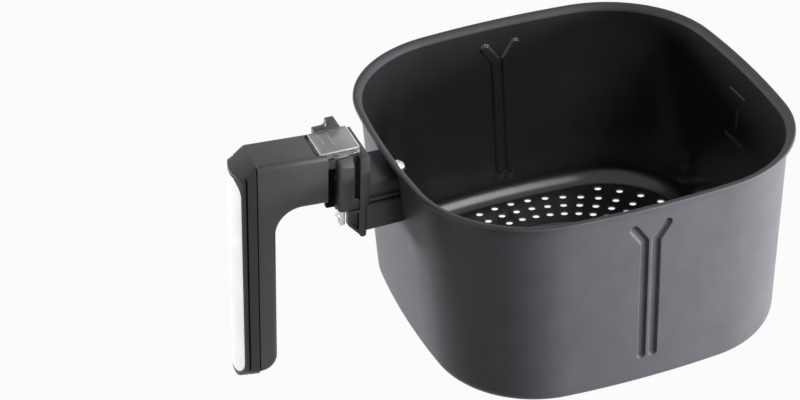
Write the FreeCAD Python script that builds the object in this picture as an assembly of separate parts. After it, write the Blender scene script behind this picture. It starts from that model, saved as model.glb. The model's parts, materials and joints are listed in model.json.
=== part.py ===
import FreeCAD, Part
import math
import os

# Fry basket of an air fryer with its release handle. Millimetres, +Z up.
# The origin is the centre of the base, on the plane that the basket stands on.
# The handle is on the -Y side and the two divider guides are on the +X and -X walls.

V = FreeCAD.Vector
UP = V(0, 0, 1)

# Basket
RIM_HALF = 112.0            # half width over the lip, at the middle of a side
SIDE_R = 509.0              # bow of each side, at the lip edge
CORNER_R = 69.6             # corner radius, at the lip edge
BASKET_H = 121.6
WALL_T = 1.2
WALL_TAPER = 4.6            # how far each wall leans in from the rim to the base
LIP_W = 3.9                 # lip beyond the outside of the wall
LIP_T = 2.0
LIP_EDGE_R = 0.9
LIP_FLARE_R = 3.8
BASE_FILLET = 9.0           # outside radius from wall to base

# Perforated base
HOLE_D = 4.6
HOLE_SIDES = 8              # each round hole is drawn with a few sides, because there are so many
RING_RADII = (73.4, 82.7, 92.0)
RING_HOLES = 52
CORNER_RING_R = 102.6
CORNER_HOLES = 4
CORNER_STEP = 7.77          # degrees between the corner holes
CENTRE_RINGS = ((16.0, 8), (32.0, 16), (48.0, 24))
BEAD_RING_R = 61.0          # stiffening ring pressed up around the centre
BEAD_RING_W = 8.0
BEAD_RING_H = 2.2           # its slopes stand at 45 degrees

# Divider guides, pressed inwards: two beads side by side whose tops bend apart
GUIDE_HALF = 2.3            # half width of a bead at the outside of the wall
GUIDE_DEPTH = 1.4           # its flanks stand at 45 degrees
GUIDE_HALF_GAP = 3.4
GUIDE_FOOT_Z = 21.8
GUIDE_BEND_Z = 97.6
GUIDE_TIP_OUT = 6.9
GUIDE_TIP_UP = 10.4

# Bracket on the front wall
RIM_TO_PIVOT = 23.6         # rim down to the handle's reference height
BRACKET_REACH = 20.6        # wall to the handle's reference point at that height
BRACKET_LOW_HALF = 17.5
BRACKET_RIB_HALF = 16.7
BRACKET_NECK_HALF = 15.4
BRACKET_TOP_HALF = 15.8
BRACKET_FOOT_DROP = 14.0    # below the reference height
BRACKET_LOW_RISE = 2.6      # top of the lower box, above the reference height
BRACKET_GROOVE_H = 1.2
BRACKET_RIB_H = 2.0
BRACKET_TOP_RISE = 15.0
BRACKET_EDGE_R = 1.6
GASKET_T = 1.2
GASKET_INSET = 0.7

# Handle: the whole handle leans, with its top towards the basket
LEAN = 4.3                  # degrees
PLATE_HALF = 17.0
PLATE_FRONT = -3.2
PLATE_BACK = 2.1
PLATE_LOW_BACK = 0.4
PLATE_STEP_Z = 2.0          # below this the plate is thinner
PLATE_FOOT_Z = -17.4
PLATE_SLOT_HALF = 6.0       # gap between the two legs, for the latch hook
PLATE_SLOT_Z = -5.0
GUSSET_T = 3.6
GUSSET_REACH = 7.0
GUSSET_DROP = 8.6
GUSSET_RIM = 1.7
GUSSET_FOOT = 4.4           # solid below the pocket
GUSSET_WEB = 1.0            # left behind the pocket
PLATE_FOOT_R = 1.5

NECK_HALF = 12.5
RECESS_HALF = 9.4           # side recess between the arm and the column
RECESS_TOP = 26.0
COLUMN_HALF = 17.0
COLUMN_STEP_HALF = 16.3
COLUMN_FRONT = -15.6
COLUMN_STEP_Y = -8.9
COLUMN_BACK = -6.4
COLUMN_TOP = 28.0
COLUMN_EDGE_R = 2.2
NECK_EDGE_R = 1.0
SHOULDER_DROP = 4.6
BRIDGE_TOP = 6.8            # the slot between column and plate ends here
SPIGOT_HALF = 11.5
SPIGOT_END = -26.5
SPIGOT_FLOOR = 8.4

ARM_HALF = 14.3
ARM_END = -20.5
ARM_TOP = 35.0
ARM_FLOOR = 5.3
PARTING_Y = -59.8
GRIP_REAR = -49.6
GRIP_FOOT = -98.0
GRIP_HEEL_R = 9.6
GRIP_WEB_R = 15.0
GRIP_EDGE_R = 3.2
BODY_WALL = 2.8
BULKHEAD_T = 3.4

SHELL_FRONT = -67.4         # at its sides; the front is crowned
SHELL_CROWN = 4.0
SHELL_CORNER_R = 1.6
SHELL_TOP_CUT = 6.4         # slope across the top of the front shell
SHELL_FOOT_R = 0.8
SHELL_WALL = 2.4
TRIM_HALF = 12.2
TRIM_SEAT = 1.2             # depth of the channel that holds the trim
TRIM_PROUD = 0.5
TRIM_TOP_GAP = 9.0
TRIM_FOOT_GAP = 3.0
TRIM_CORNER_R = 9.0
TRIM_FIT = 0.2

# Deck on top of the neck, level although the handle leans
DECK_RISE = 32.4            # above the reference height
RAIL_IN = 12.6
RAIL_RISE = 5.2             # above the deck
RAIL_FRONT = -17.3
RAIL_BACK = -4.4
RAIL_EDGE_R = 0.6
STOP_FRONT = -9.6
STOP_RISE = 4.0             # above the rail
STOP_FILLET = 2.6

GUARD_HALF = 11.2
GUARD_FRONT = -22.5
GUARD_BACK = 1.2
GUARD_H = 4.2
GUARD_WALL = 1.3
GUARD_TOP = 1.4
GUARD_NOSE = 3.0            # slope of the front end
GUARD_NOSE_R = 1.5
GUARD_LIP = 1.0             # upright edge under that slope
GUARD_EDGE_R = 1.0
GUARD_CORNER_R = 3.0
GUARD_TRAVEL = 10.5
GUARD_LUG_FRONT = -14.0     # thumb lug on the +X side
GUARD_LUG_L = 8.0
GUARD_LUG_OUT = 1.2
GUARD_LUG_H = 1.8
RUNNER_FRONT = -17.2
RUNNER_L = 5.5
RUNNER_DROP = 3.5           # below the deck
RUNNER_LIP = 1.0
RUNNER_LIP_H = 1.2
RUN_GAP = 0.3               # sliding clearance
NOTCH_GAP = 0.6             # guard to the notch in the arm

BUTTON_HALF = 7.3
BUTTON_FRONT = -20.7
BUTTON_BACK = -12.4
BUTTON_SINK = 0.2           # top of the button below the deck, so that the guard slides over it
BUTTON_H = 6.4
BUTTON_EDGE_R = 0.8
STEM_HALF = 2.4
STEM_FRONT = -19.2
STEM_T = 3.0
STEM_TIP_R = 1.2
SHELF_Z = 18.0              # shelf under the button spring
SHELF_T = 3.0
SPRING_R = 2.1
SPRING_WIRE = 0.6
SPRING_X = 5.0              # one spring on each side of the stem

PIVOT_PIN_Y = -8.2
PIVOT_PIN_Z = 6.0
PIN_R = 1.5
PIN_BORE_GAP = 0.1
PIN_HALF = 10.0
HUB_R = 3.6
HOOK_HALF = 2.7
HOOK_FOOT_Z = -16.8
HOOK_T = 2.6
HOOK_NOSE = 1.6
HOOK_NOSE_H = 5.6
HOOK_NOSE_SLOPE = 1.0
HOOK_ROOT_HALF = 1.6
HOOK_EDGE_R = 0.8
HOOK_TIP_R = 0.5
PUSH_PAD_Z = 9.0
PUSH_PAD_END = -19.4
PUSH_ARM_T = 3.0
PUSH_ARM_TAPER = 1.0
PUSH_GAP = 0.4
CHAMBER_HALF = 7.0
CHAMBER_BACK = -4.2
CHAMBER_FRONT = -22.4
COIL_R = 2.9
COIL_BORE_R = 1.8

# Fasteners
BOLT_R = 2.0
BOLT_GAP = 0.15
BOLT_RISES = (10.0, -2.4)   # above the reference height
BOLT_HEAD_R = 3.8
BOLT_HEAD_T = 1.6
BOLT_HEAD_SINK = 0.6        # head below the face of the leaning plate
WASHER_R = 5.0
WASHER_T = 1.0
WASHER_GAP = 0.03           # keeps the flat washer off the bowed wall
NUT_FLATS = 7.0
NUT_H = 4.2
NUT_DOME_H = 3.0
SCREW_R = 1.5
SCREW_HEAD_R = 2.8
SCREW_HEAD_T = 1.8
PLATE_SCREW_X = 9.7
PLATE_SCREW_Z = 19.0
PLATE_SCREW_L = 16.0
ARM_SCREW_X = 9.3
ARM_SCREW_Z = 17.0
ARM_SCREW_L = 8.4
SHELL_SCREW_ZS = (-24.0, -76.0)
SHELL_SCREW_L = 10.5
SHELL_SCREW_DEPTH = 4.0     # shell under the head
BOSS_R = 3.4

BIG = 60.0                  # reach of cutting blocks past the solid that they trim
NEAR = 1.0                  # an edge this close to a plane counts as lying on it
FLAT = 1e-6                 # an edge with a smaller extent is square to that direction


def wall_out(z):
    """Half width of the outside of the wall at height z."""
    return RIM_HALF - LIP_W - WALL_TAPER * (1 - z / (BASKET_H - LIP_T))


def wall_inset(z):
    """Inward offset of the inside of the wall from the lip edge, at height z."""
    return RIM_HALF - wall_out(z) + WALL_T / math.cos(math.radians(WALL_LEAN))


WALL_LEAN = math.degrees(math.atan(WALL_TAPER / (BASKET_H - LIP_T)))
PIVOT_Z = BASKET_H - RIM_TO_PIVOT
PIVOT_Y = -(wall_out(PIVOT_Z) + BRACKET_REACH)
NUT_SEAT = WALL_T + WASHER_GAP + WASHER_T
SHELL_SCREW_SEAT = PARTING_Y - SHELL_SCREW_DEPTH


def rounded_wire(corners):
    """Closed wire through (point, radius) corners, each rounded by a tangent arc."""
    count = len(corners)
    arcs = []
    for i in range(count):
        point, radius = corners[i]
        to_last = (corners[i - 1][0] - point).normalize()
        to_next = (corners[(i + 1) % count][0] - point).normalize()
        if radius == 0:
            arcs.append((point, None, point))
            continue
        half = to_last.getAngle(to_next) / 2
        reach = radius / math.tan(half)
        bisector = (to_last + to_next).normalize()
        middle = point + bisector * (radius / math.sin(half) - radius)
        arcs.append((point + to_last * reach, middle, point + to_next * reach))
    edges = []
    for i in range(count):
        start, middle, end = arcs[i]
        if middle is not None:
            edges.append(Part.Arc(start, middle, end).toShape())
        following = arcs[(i + 1) % count][0]
        if end.distanceToPoint(following) > 1e-6:
            edges.append(Part.LineSegment(end, following).toShape())
    return Part.Wire(edges)


def side_prism(corners, x0, x1):
    """Outline in (y, z, radius), drawn from the side and pushed through from x0 to x1."""
    wire = rounded_wire([(V(x0, y, z), r) for y, z, r in corners])
    return Part.Face(wire).extrude(V(x1 - x0, 0, 0))


def front_prism(corners, y0, y1):
    """Outline in (x, z, radius), drawn from the front and pushed through from y0 to y1."""
    wire = rounded_wire([(V(x, y0, z), r) for x, z, r in corners])
    return Part.Face(wire).extrude(V(0, y1 - y0, 0))


def plan_prism(corners, z0, z1):
    """Outline in (x, y, radius), drawn from above and pushed up from z0 to z1."""
    wire = rounded_wire([(V(x, y, z0), r) for x, y, r in corners])
    return Part.Face(wire).extrude(V(0, 0, z1 - z0))


def oblong(half, low, high, radius):
    """Corners of a rounded rectangle about the middle plane, for the three prisms."""
    return [(-half, low, radius), (half, low, radius), (half, high, radius), (-half, high, radius)]


def block(x0, x1, y0, y1, z0, z1):
    return Part.makeBox(x1 - x0, y1 - y0, z1 - z0, V(x0, y0, z0))


def rod(radius, start, length, direction=V(0, 1, 0)):
    return Part.makeCylinder(radius, length, start, direction)


def joined(shapes):
    return shapes[0].multiFuse(shapes[1:]).removeSplitter()


def to_handle(shape):
    """From the leaning frame of the handle to the frame of the part."""
    return to_deck(shape.rotated(V(0, 0, 0), V(1, 0, 0), -LEAN))


def to_deck(shape):
    """From the level frame at the handle's reference point to the frame of the part."""
    return shape.translated(V(0, PIVOT_Y, PIVOT_Z))


def to_wall(shape, z):
    """From a frame whose y = 0 is the outside of the front wall at height z."""
    turned = shape.rotated(V(0, 0, 0), V(1, 0, 0), WALL_LEAN)
    return turned.translated(V(0, -wall_out(z), z))


def corner_centre():
    bow = SIDE_R - RIM_HALF
    reach = SIDE_R - CORNER_R
    return (math.sqrt(2 * reach * reach - bow * bow) - bow) / 2


CORNER_C = corner_centre()
SIDE_ANGLE = math.degrees(math.atan2(CORNER_C, CORNER_C + SIDE_R - RIM_HALF))


def wall_sector(profile, centre, radius, start, sweep):
    """Revolve an (inward offset, z, radius) profile about one arc centre of the plan."""
    corners = [(V(centre.x + radius - d, centre.y, z), r) for d, z, r in profile]
    face = Part.Face(rounded_wire(corners)).rotated(centre, UP, start)
    return face.revolve(centre, UP, sweep)


def side_sector(profile, half_angle):
    return wall_sector(profile, V(RIM_HALF - SIDE_R, 0, 0), SIDE_R, -half_angle, 2 * half_angle)


def plan_wire(offset, z):
    """The basket's bowed square at an inward offset from the lip edge."""
    edges = []
    for quarter in range(4):
        for centre, radius, start, sweep in (
            (V(RIM_HALF - SIDE_R, 0, z), SIDE_R - offset, -SIDE_ANGLE, 2 * SIDE_ANGLE),
            (V(CORNER_C, CORNER_C, z), CORNER_R - offset, SIDE_ANGLE, 90 - 2 * SIDE_ANGLE),
        ):
            points = []
            for share in (0, 0.5, 1):
                angle = math.radians(start + share * sweep)
                points.append(centre + V(radius * math.cos(angle), radius * math.sin(angle), 0))
            arc = Part.Arc(*points).toShape()
            edges.append(arc.rotated(V(0, 0, 0), UP, 90 * quarter))
    return Part.Wire(Part.__sortEdges__(edges))


def hole_centres():
    """Radius and turn of each hole: whole rings, the four corners and the centre."""
    centres = []
    rings = [(radius, RING_HOLES) for radius in RING_RADII] + list(CENTRE_RINGS)
    for radius, count in rings:
        for i in range(count):
            centres.append((radius, 360.0 * i / count))
    for quarter in range(4):
        for i in range(CORNER_HOLES):
            turn = (i - (CORNER_HOLES - 1) / 2) * CORNER_STEP
            centres.append((CORNER_RING_R, 45 + 90 * quarter + turn))
    return centres


def hole_wire(radius, turn):
    """One hole, of the same area as the round one, with a flat towards the centre."""
    step = math.radians(360.0 / HOLE_SIDES)
    corner_r = HOLE_D / 2 * math.sqrt(2 * math.pi / (HOLE_SIDES * math.sin(step)))
    points = []
    for i in range(HOLE_SIDES + 1):
        angle = (i + 0.5) * step
        points.append(V(radius + corner_r * math.cos(angle), corner_r * math.sin(angle), 0))
    return Part.makePolygon(points).rotated(V(0, 0, 0), UP, turn)


def bead_ring(z):
    """Ring with sloping flanks that stands BEAD_RING_H above height z."""
    half = BEAD_RING_W / 2
    crest = half - BEAD_RING_H
    outline = [(-half, 0), (half, 0), (crest, BEAD_RING_H), (-crest, BEAD_RING_H)]
    points = [V(BEAD_RING_R + out, 0, z + up) for out, up in outline]
    return Part.Face(Part.makePolygon(points + points[:1])).revolve(V(0, 0, 0), UP, 360)


def guide_outline(x, half):
    """Outline of the +Y bead of a guide at depth x, half wide on each side of its bent path."""
    slant = V(0, GUIDE_TIP_OUT, GUIDE_TIP_UP).normalize()
    across = V(0, slant.z, -slant.y)
    foot = V(x, GUIDE_HALF_GAP, GUIDE_FOOT_Z)
    bend = V(x, GUIDE_HALF_GAP, GUIDE_BEND_Z)
    tip = bend + V(0, GUIDE_TIP_OUT, GUIDE_TIP_UP)
    mitre = (V(0, 1, 0) + across) * (half / (1 + across.y))
    points = [
        foot + V(0, half, -half), bend + mitre, tip + (slant + across) * half,
        tip + (slant - across) * half, bend - mitre, foot + V(0, -half, -half),
    ]
    return Part.makePolygon(points + points[:1])


def guide_bead(outer_x, inner_x, half):
    """Bead with 45 degree flanks between two depths, on a wall that stands upright at x = 0.

    half is the half width where its flanks would meet x = 0.
    """
    wires = [guide_outline(x, half + x) for x in (outer_x, inner_x)]
    bead = Part.makeLoft(wires, True, True)
    return [bead, bead.mirror(V(0, 0, 0), V(0, 1, 0))]


def on_side_walls(shape):
    """Lean a shape like the +X wall, put it there, and repeat it on the -X wall."""
    leaning = shape.rotated(V(0, 0, 0), V(0, 1, 0), WALL_LEAN).translated(V(wall_out(0), 0, 0))
    return [leaning, leaning.rotated(V(0, 0, 0), UP, 180)]


def basket_shell():
    foot = LIP_W + WALL_TAPER
    flat = foot + BASE_FILLET
    profile = [
        (0, BASKET_H, LIP_EDGE_R),
        (0, BASKET_H - LIP_T, 0),
        (LIP_W, BASKET_H - LIP_T, 0),
        (foot, 0, BASE_FILLET),
        (flat, 0, 0),
        (flat, WALL_T, 0),
        (wall_inset(WALL_T), WALL_T, BASE_FILLET - WALL_T),
        (wall_inset(BASKET_H), BASKET_H, LIP_FLARE_R),
    ]
    side = side_sector(profile, SIDE_ANGLE)
    corner = wall_sector(
        profile, V(CORNER_C, CORNER_C, 0), CORNER_R, SIDE_ANGLE, 90 - 2 * SIDE_ANGLE
    )
    pieces = []
    for quarter in range(4):
        pieces.append(side.rotated(V(0, 0, 0), UP, 90 * quarter))
        pieces.append(corner.rotated(V(0, 0, 0), UP, 90 * quarter))
    wires = [plan_wire(flat, 0)]
    for radius, turn in hole_centres():
        wires.append(hole_wire(radius, turn))
    base = Part.makeFace(wires, "Part::FaceMakerBullseye").extrude(V(0, 0, WALL_T))
    shell = joined(pieces + [base])
    shell = shell.fuse(bead_ring(WALL_T)).cut(bead_ring(0))
    ridge_half = GUIDE_HALF + math.sqrt(2) * WALL_T
    for ridge in guide_bead(-WALL_T / 2, -WALL_T - GUIDE_DEPTH, ridge_half):
        for placed in on_side_walls(ridge):
            shell = shell.fuse(placed)
    for groove in guide_bead(WALL_T, -GUIDE_DEPTH, GUIDE_HALF):
        for placed in on_side_walls(groove):
            shell = shell.cut(placed)
    return shell.cut(bolt_holes())


def wall_layer(inner, outer):
    """Slice behind the bracket that follows the front wall, from inner to outer beyond it."""
    low = PIVOT_Z - BRACKET_FOOT_DROP - BRACKET_EDGE_R
    high = PIVOT_Z + BRACKET_TOP_RISE + BRACKET_EDGE_R
    profile = []
    for gap, z in ((outer, low), (inner, low), (inner, high), (outer, high)):
        profile.append((RIM_HALF - wall_out(z) - gap, z, 0))
    half_angle = math.degrees(2 * BRACKET_LOW_HALF / SIDE_R)
    return side_sector(profile, half_angle).rotated(V(0, 0, 0), UP, -90)


def bolt_holes():
    holes = []
    for rise in BOLT_RISES:
        hole = rod(BOLT_R + BOLT_GAP, V(0, -BIG, 0), 2 * BIG)
        holes.append(to_wall(hole, PIVOT_Z + rise))
    return Part.makeCompound(holes)


def bolt_reach(rise):
    """Outside of the wall to the seat of the bolt head in the mounting plate."""
    lean = math.tan(math.radians(LEAN))
    seat_y = PIVOT_Y + PLATE_FRONT + rise * lean + BOLT_HEAD_T + BOLT_HEAD_SINK
    return -wall_out(PIVOT_Z + rise) - seat_y


def bracket_outline():
    """Stacked forms of the bracket, seen from the front: (half width, low, high, radius)."""
    low_top = PIVOT_Z + BRACKET_LOW_RISE
    rib_low = low_top + BRACKET_GROOVE_H
    rib_top = rib_low + BRACKET_RIB_H
    return [
        (BRACKET_LOW_HALF, PIVOT_Z - BRACKET_FOOT_DROP, low_top, BRACKET_EDGE_R),
        (BRACKET_NECK_HALF, low_top - BRACKET_EDGE_R, rib_low + BRACKET_RIB_H, 0),
        (BRACKET_RIB_HALF, rib_low, rib_top, BRACKET_RIB_H / 4),
        (BRACKET_NECK_HALF, rib_top - BRACKET_RIB_H / 2, rib_top + BRACKET_GROOVE_H, 0),
        (BRACKET_TOP_HALF, rib_top + BRACKET_GROOVE_H / 2, PIVOT_Z + BRACKET_TOP_RISE, BRACKET_EDGE_R),
    ]


def plate_side():
    """Space taken by the mounting plate and all that is in front of it."""
    upper = block(-BIG, BIG, -BIG, PLATE_BACK, PLATE_STEP_Z, BIG)
    lower = block(-BIG, BIG, -BIG, PLATE_LOW_BACK, -BIG, PLATE_STEP_Z)
    return to_handle(upper.fuse(lower))


def handle_bracket():
    far = PIVOT_Y - BRACKET_REACH
    near = -wall_out(0)
    stack = []
    for half, low, high, radius in bracket_outline():
        stack.append(front_prism(oblong(half, low, high, radius), far, near))
    wall = wall_layer(-BRACKET_REACH, GASKET_T)
    return joined(stack).cut(wall).cut(plate_side()).cut(bolt_holes())


def bracket_gasket():
    layer = wall_layer(0, GASKET_T)
    far = PIVOT_Y - BRACKET_REACH
    sheets = []
    for half, low, high, radius in bracket_outline():
        inset = oblong(half - GASKET_INSET, low + GASKET_INSET, high - GASKET_INSET, 0)
        sheets.append(front_prism(inset, far, 0))
    low = PIVOT_Z - BRACKET_FOOT_DROP + GASKET_INSET
    high = PIVOT_Z + BRACKET_TOP_RISE - GASKET_INSET
    sheets.append(front_prism(oblong(BRACKET_NECK_HALF - GASKET_INSET, low, high, 0), far, 0))
    return layer.common(joined(sheets)).cut(bolt_holes())


def gusset():
    """Web with a pocket in its side that ties a leg of the plate to the underside of the column."""
    outer = [
        (PLATE_FRONT - GUSSET_REACH, 0, 0),
        (PLATE_FRONT, 0, 0),
        (PLATE_FRONT, PLATE_FOOT_Z + PLATE_FOOT_R, 0),
        (PLATE_FRONT - GUSSET_REACH, -GUSSET_DROP, GUSSET_RIM),
    ]
    pocket = [
        (PLATE_FRONT - GUSSET_REACH + GUSSET_RIM, -GUSSET_RIM, 0),
        (PLATE_FRONT - GUSSET_RIM / 3, -GUSSET_RIM, 0),
        (PLATE_FRONT - GUSSET_RIM / 3, PLATE_FOOT_Z + GUSSET_FOOT, 0),
        (PLATE_FRONT - GUSSET_REACH + GUSSET_RIM, -GUSSET_DROP + GUSSET_RIM / 2, 0),
    ]
    inner = PLATE_HALF - GUSSET_T
    return side_prism(outer, inner, PLATE_HALF).cut(side_prism(pocket, inner + GUSSET_WEB, BIG))


def mirrored(shape):
    return shape.mirror(V(0, 0, 0), V(1, 0, 0))


def mounting_plate():
    top = DECK_RISE + BIG / 4
    upper = front_prism(oblong(PLATE_HALF, PLATE_STEP_Z, top, 0), PLATE_FRONT, PLATE_BACK)
    legs = [
        (PLATE_FRONT, PLATE_FOOT_Z, PLATE_FOOT_R), (PLATE_LOW_BACK, PLATE_FOOT_Z, PLATE_FOOT_R),
        (PLATE_LOW_BACK, PLATE_STEP_Z, 0), (PLATE_FRONT, PLATE_STEP_Z, 0),
    ]
    lower = side_prism(legs, -PLATE_HALF, PLATE_HALF)
    slot = front_prism(
        oblong(PLATE_SLOT_HALF, PLATE_FOOT_Z - BIG, PLATE_SLOT_Z, PLATE_SLOT_HALF / 2), -BIG, BIG
    )
    plate = joined([upper, lower.cut(slot), gusset(), mirrored(gusset())])
    for x in (PLATE_SCREW_X, -PLATE_SCREW_X):
        plate = plate.cut(plate_screw(x, BOLT_GAP))
    plate = to_handle(plate).cut(above_deck()).cut(bolt_holes())
    for rise in BOLT_RISES:
        plate = plate.cut(bolt_head_room(rise))
    return plate


def above_deck():
    return to_deck(block(-BIG, BIG, -2 * BIG, BIG, DECK_RISE, DECK_RISE + BIG))


def bolt_head_room(rise):
    room = rod(BOLT_HEAD_R + BOLT_GAP, V(0, -bolt_reach(rise) - BIG / 4, 0), BIG / 4)
    return to_wall(room, PIVOT_Z + rise)


def basket_bolts():
    bolts = []
    for rise in BOLT_RISES:
        reach = bolt_reach(rise)
        head = rod(BOLT_HEAD_R, V(0, -reach - BOLT_HEAD_T, 0), BOLT_HEAD_T)
        shank = rod(BOLT_R, V(0, -reach, 0), reach + NUT_SEAT + NUT_H)
        bolts.append(to_wall(joined([head, shank]), PIVOT_Z + rise))
    return Part.makeCompound(bolts)


def nut_washers():
    washers = []
    for rise in BOLT_RISES:
        seat = V(0, NUT_SEAT - WASHER_T, 0)
        washer = rod(WASHER_R, seat, WASHER_T).cut(rod(BOLT_R, seat, WASHER_T))
        washers.append(to_wall(washer, PIVOT_Z + rise))
    return Part.makeCompound(washers)


def dome_nuts():
    """Hexagon with a spherical cap, on the inside of the wall."""
    seat = NUT_SEAT
    corner = NUT_FLATS / math.sqrt(3)
    angles = [math.radians(60 * i) for i in range(6)]
    hexagon = [V(corner * math.cos(a), seat, corner * math.sin(a)) for a in angles]
    prism = Part.Face(Part.makePolygon(hexagon + hexagon[:1])).extrude(V(0, NUT_H, 0))
    cap_r = NUT_FLATS / 2
    sphere_r = (cap_r ** 2 + NUT_DOME_H ** 2) / (2 * NUT_DOME_H)
    ball = Part.makeSphere(sphere_r, V(0, seat + NUT_H + NUT_DOME_H - sphere_r, 0))
    cap = ball.common(block(-BIG, BIG, seat + NUT_H, BIG, -BIG, BIG))
    nut = joined([prism, cap]).cut(rod(BOLT_R, V(0, 0, 0), seat + NUT_H))
    return Part.makeCompound([to_wall(nut, PIVOT_Z + rise) for rise in BOLT_RISES])


def screw(x, y, z, length, direction, gap=0.0):
    """Pan-head screw whose head seats at y; direction is +1 or -1 along y."""
    axis = V(0, direction, 0)
    head = rod(SCREW_HEAD_R + gap, V(x, y - direction * (SCREW_HEAD_T + gap), z), SCREW_HEAD_T + gap, axis)
    shank = rod(SCREW_R + gap, V(x, y, z), length, axis)
    return joined([head, shank])


def plate_screw(x, gap=0.0):
    return screw(x, PLATE_BACK - SCREW_HEAD_T, PLATE_SCREW_Z, PLATE_SCREW_L, -1, gap)


def arm_screw(x):
    return screw(x, SPIGOT_END - BULKHEAD_T, ARM_SCREW_Z, ARM_SCREW_L, 1)


def shell_screw(z):
    return screw(0, SHELL_SCREW_SEAT, z, SHELL_SCREW_L, 1)


def screw_pair(maker):
    return to_handle(Part.makeCompound([maker(1), maker(-1)]))


def latch_chamber():
    """Room for the button, its spring and the latch, in the level frame."""
    well = block(
        -BUTTON_HALF - RUN_GAP, BUTTON_HALF + RUN_GAP,
        BUTTON_FRONT - RUN_GAP, BUTTON_BACK + RUN_GAP, SHELF_Z, DECK_RISE + BIG,
    )
    stem_slot = block(
        -STEM_HALF - RUN_GAP, STEM_HALF + RUN_GAP,
        STEM_FRONT - RUN_GAP, STEM_FRONT + STEM_T + RUN_GAP, 0, SHELF_Z + SHELF_T,
    )
    chamber = block(
        -CHAMBER_HALF, CHAMBER_HALF, CHAMBER_FRONT, CHAMBER_BACK, -BIG, SHELF_Z - SHELF_T,
    )
    pin_bore = rod(PIN_R, V(-PIN_HALF, PIVOT_PIN_Y, PIVOT_PIN_Z), 2 * PIN_HALF, V(1, 0, 0))
    return joined([well, stem_slot, chamber, pin_bore])


def runner_slot(side):
    """T-shaped slot in the deck for one runner of the guard."""
    out = GUARD_HALF + RUN_GAP
    inn = GUARD_HALF - GUARD_WALL - RUN_GAP
    front = RUNNER_FRONT - RUN_GAP
    back = RUNNER_FRONT + RUNNER_L + GUARD_TRAVEL + 2 * RUN_GAP
    low = DECK_RISE - RUNNER_DROP - RUN_GAP
    lip_top = DECK_RISE - RUNNER_DROP + RUNNER_LIP_H + RUN_GAP
    slot = joined([
        block(inn, out, front, back, lip_top, DECK_RISE + BIG),
        block(inn - RUNNER_LIP, out, front, back, low, lip_top),
    ])
    return slot if side > 0 else mirrored(slot)


def neck_rail():
    """Rail on the -X side of the deck, with an upright stop at its rear end."""
    rail_top = DECK_RISE + RAIL_RISE
    stop_top = rail_top + STOP_RISE
    outline = [
        (RAIL_FRONT, DECK_RISE - RAIL_RISE, 0),
        (RAIL_BACK, DECK_RISE - RAIL_RISE, 0),
        (RAIL_BACK, stop_top, RAIL_EDGE_R),
        (STOP_FRONT, stop_top, RAIL_EDGE_R),
        (STOP_FRONT, rail_top, STOP_FILLET),
        (RAIL_FRONT, rail_top, RAIL_EDGE_R),
    ]
    return side_prism(outline, -COLUMN_HALF, -RAIL_IN)


def column_outline(half, drop, radius):
    """Front view of the column: shoulders slope from its top corners to the deck."""
    top = COLUMN_TOP - drop
    shoulder = top + SHOULDER_DROP
    return [
        (-half, 0, NECK_EDGE_R), (half, 0, NECK_EDGE_R), (half, top, radius),
        (NECK_HALF, shoulder, 0), (-NECK_HALF, shoulder, 0), (-half, top, radius),
    ]


def neck_housing():
    tall = DECK_RISE + BIG / 4
    core = side_prism(
        [(ARM_END, 0, NECK_EDGE_R), (PLATE_FRONT, 0, 0), (PLATE_FRONT, tall, 0), (ARM_END, tall, 0)],
        -NECK_HALF, NECK_HALF,
    )
    spigot = block(-SPIGOT_HALF, SPIGOT_HALF, SPIGOT_END, ARM_END, SPIGOT_FLOOR, tall)
    column = front_prism(column_outline(COLUMN_HALF, 0, COLUMN_EDGE_R), COLUMN_FRONT, COLUMN_STEP_Y)
    upright = []
    for edge in column.Edges:
        box = edge.BoundBox
        if box.YMax < COLUMN_FRONT + NEAR and box.XLength < FLAT and box.ZLength > BRIDGE_TOP:
            upright.append(edge)
    step = COLUMN_HALF - COLUMN_STEP_HALF
    neck = joined([
        core, spigot, column.makeFillet(COLUMN_EDGE_R, upright),
        front_prism(column_outline(COLUMN_STEP_HALF, step, NECK_EDGE_R), COLUMN_STEP_Y, COLUMN_BACK),
        front_prism(oblong(COLUMN_STEP_HALF, 0, BRIDGE_TOP, NECK_EDGE_R), COLUMN_BACK, PLATE_FRONT),
    ])
    for side in (1, -1):
        neck = neck.cut(plate_screw(side * PLATE_SCREW_X)).cut(arm_screw(side * ARM_SCREW_X))
    recess = block(RECESS_HALF, BIG, ARM_END, COLUMN_FRONT, -BIG, RECESS_TOP)
    neck = neck.cut(recess).cut(mirrored(recess))
    neck = to_handle(neck).cut(above_deck()).cut(to_deck(latch_chamber()))
    for side in (1, -1):
        neck = neck.cut(to_deck(runner_slot(side)))
    return neck.fuse(to_deck(neck_rail()).cut(plate_front_side())).removeSplitter()


def plate_front_side():
    """Space of the mounting plate itself, kept free by the rail."""
    return to_handle(block(-BIG, BIG, PLATE_FRONT, BIG, -BIG, BIG))


def body_outline(inset):
    """Side view of the arm and the rear half of the grip."""
    return [
        (ARM_END, ARM_FLOOR + inset, 0),
        (ARM_END, ARM_TOP - inset, 0),
        (PARTING_Y, ARM_TOP - inset, 0),
        (PARTING_Y, GRIP_FOOT + inset, 0),
        (GRIP_REAR - inset, GRIP_FOOT + inset, GRIP_HEEL_R - inset),
        (GRIP_REAR - inset, ARM_FLOOR + inset, GRIP_WEB_R + inset),
    ]


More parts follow.
